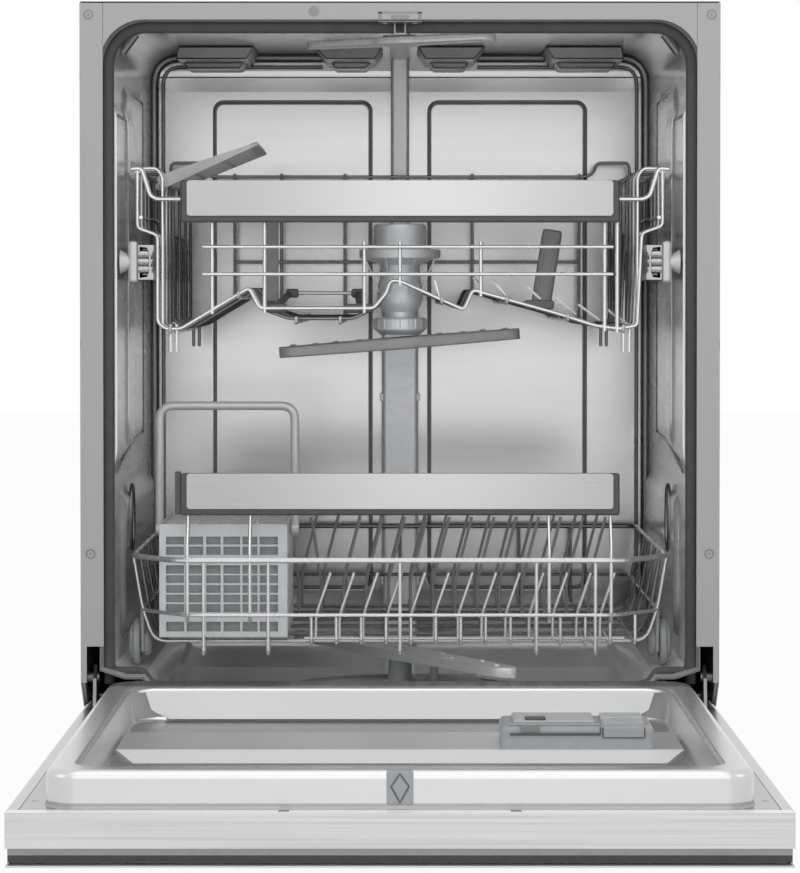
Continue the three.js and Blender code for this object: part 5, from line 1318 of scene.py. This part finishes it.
BASKET_LEVELS = ((218.1, 223.8), (232.9, 242.1), (249.8, 251.7), (258.9, 260.8), (268.1, 270.2),
                 (277.5, 279.2), (287.1, 297.3), (305, 307.2), (314.5, 326.8))
BASKET_UPRIGHTS = ((-230.8, -223.9), (-207.1, -204.2), (-188.8, -185.5), (-172, -169), (-153.3, -150.7),
                   (-136.8, -134.3), (-117.1, -107.7))


def make_cutlery_basket():
    """Cutlery basket: plates with rows of openings on four sides, a lid with openings, inner
    walls and ribs on the floor; and its handle with an eye at each end."""
    shape = Shape()
    for y in (72.2, 240.8):
        grid(shape, BASKET_UPRIGHTS, BASKET_LEVELS, y, y + 2)
    edges = [(72.4 + k * 20.7, 75.2 + k * 20.7) for k in range(9)]
    for x in (-230.7, -109.8):
        grid(shape, edges, BASKET_LEVELS, x, x + 2, turned=True)
    for x in np.linspace(-230, -111, 12):
        soft_block(shape, (x, 72.6, 217.9), (x + 2.2, 242.4, 220), 0.5, "y", 1)
    for y in np.linspace(73, 239, 15):
        soft_block(shape, (-230.4, y, 218.1), (-108, y + 2.2, 219.8), 0.5, "x", 1)
    for y in (106, 140, 174, 208):
        soft_block(shape, (-229, y, 220), (-109.4, y + 1.8, 324), 0.5, "x", 1)
    for x in (-200, -171, -141):
        soft_block(shape, (x, 73, 318), (x + 3, 242, 324.6), 0.6, "y", 1)
    for y in (73, 104, 138, 172, 206, 236):
        soft_block(shape, (-230, y, 321), (-108.5, y + 6, 325), 0.6, "x", 1)
    piece("cutlery_grid", shape, pale_plastic, "lower_rack", ["cutlery_basket"])
    inner = Shape()
    for y in (78, 234.8):
        soft_block(inner, (-229, y, 220), (-109.4, y + 2, 322), 0.6, "x", 1)
    for x in (-225.6, -115):
        soft_block(inner, (x, 78, 220), (x + 2, 236, 322), 0.6, "y", 1)
    piece("cutlery_inner_walls", inner, grey_plastic, "lower_rack")
    bail = Shape()
    path = [(-235.7, 150, 318), (-235.4, 150, 437.5), (-103.1, 150, 437.5), (-102.8, 150, 318)]
    tube(bail, bent(path, 14, 8), 4.3, 12)
    for x in (-235.7, -102.8):
        disc(bail, [(4.3, x - 4), (6.4, x - 3.4), (6.4, x + 3.4), (4.3, x + 4)], (150, 316), 20, "x")
    piece("cutlery_bail", bail, pale_plastic, "cutlery_handle", ["cutlery_handle"], smooth=50)


def make_wheels():
    """Rack wheels: a tyre with a rounded tread, a recessed web, spokes, a hub and its cover."""
    half = np.array([
        (4.6, -3.2), (7.5, -3.3), (8.2, -1.4), (17, -1.4), (17.6, -3.2), (20.4, -3.4), (21.9, -1.8),
    ])
    tyre = np.concatenate([half, half[::-1] * [1, -1]])
    cover = np.array([(4.4, 258.2), (17, 258.2), (17, 260.6), (14, 262.4), (4.4, 262.4)])
    for end, y in AXLE_YS.items():
        for hand, side in SIDES:
            x = side * 254.5
            shape = Shape()
            lathe(shape, tyre + [0, x], (y, AXLE_Z), 40, "x")
            lathe(shape, cover * [1, side], (y, AXLE_Z), 32, "x")
            for out in circle(1.0, 5):
                spoke = [(x, y + r * out[0], AXLE_Z + r * out[1]) for r in (7.6, 17.4)]
                tube(shape, spoke, 2.4, 8, X_NORMAL)
            name = f"{end}_wheel_{hand}"
            piece(name + "_tyre", shape, grey_plastic, name, [name])


make_studio()
make_camera()
make_runners()
make_cup_shelf()
make_flap()
make_cutlery_basket()
make_wheels()
spray_arm("ceiling_arm", "ceiling_spray_arm", (0, 172), 791, 109, -32)
spray_arm("middle_arm", "middle_spray_arm", MIDDLE_ARM, 493, 124, 8, -4.4, 6.4, lid_plastic)
spray_arm("lower_arm", "lower_spray_arm", (0, 250), 179.5, 212, -59, 0, 6)
make_manifold()
make_feed_pipe()
make_filter()
make_dispenser()
make_latch()
make_door_liner()
make_door_platform()
make_far_slope()
make_door_details()
make_tub()
make_tub_back()
make_ceiling_ribs()
make_flange_details()
make_outer_sheets()
make_gasket()
make_upper_rack()
make_lower_rack()
make_handle("upper", 46.6, 621)
make_handle("lower", 40, 343)
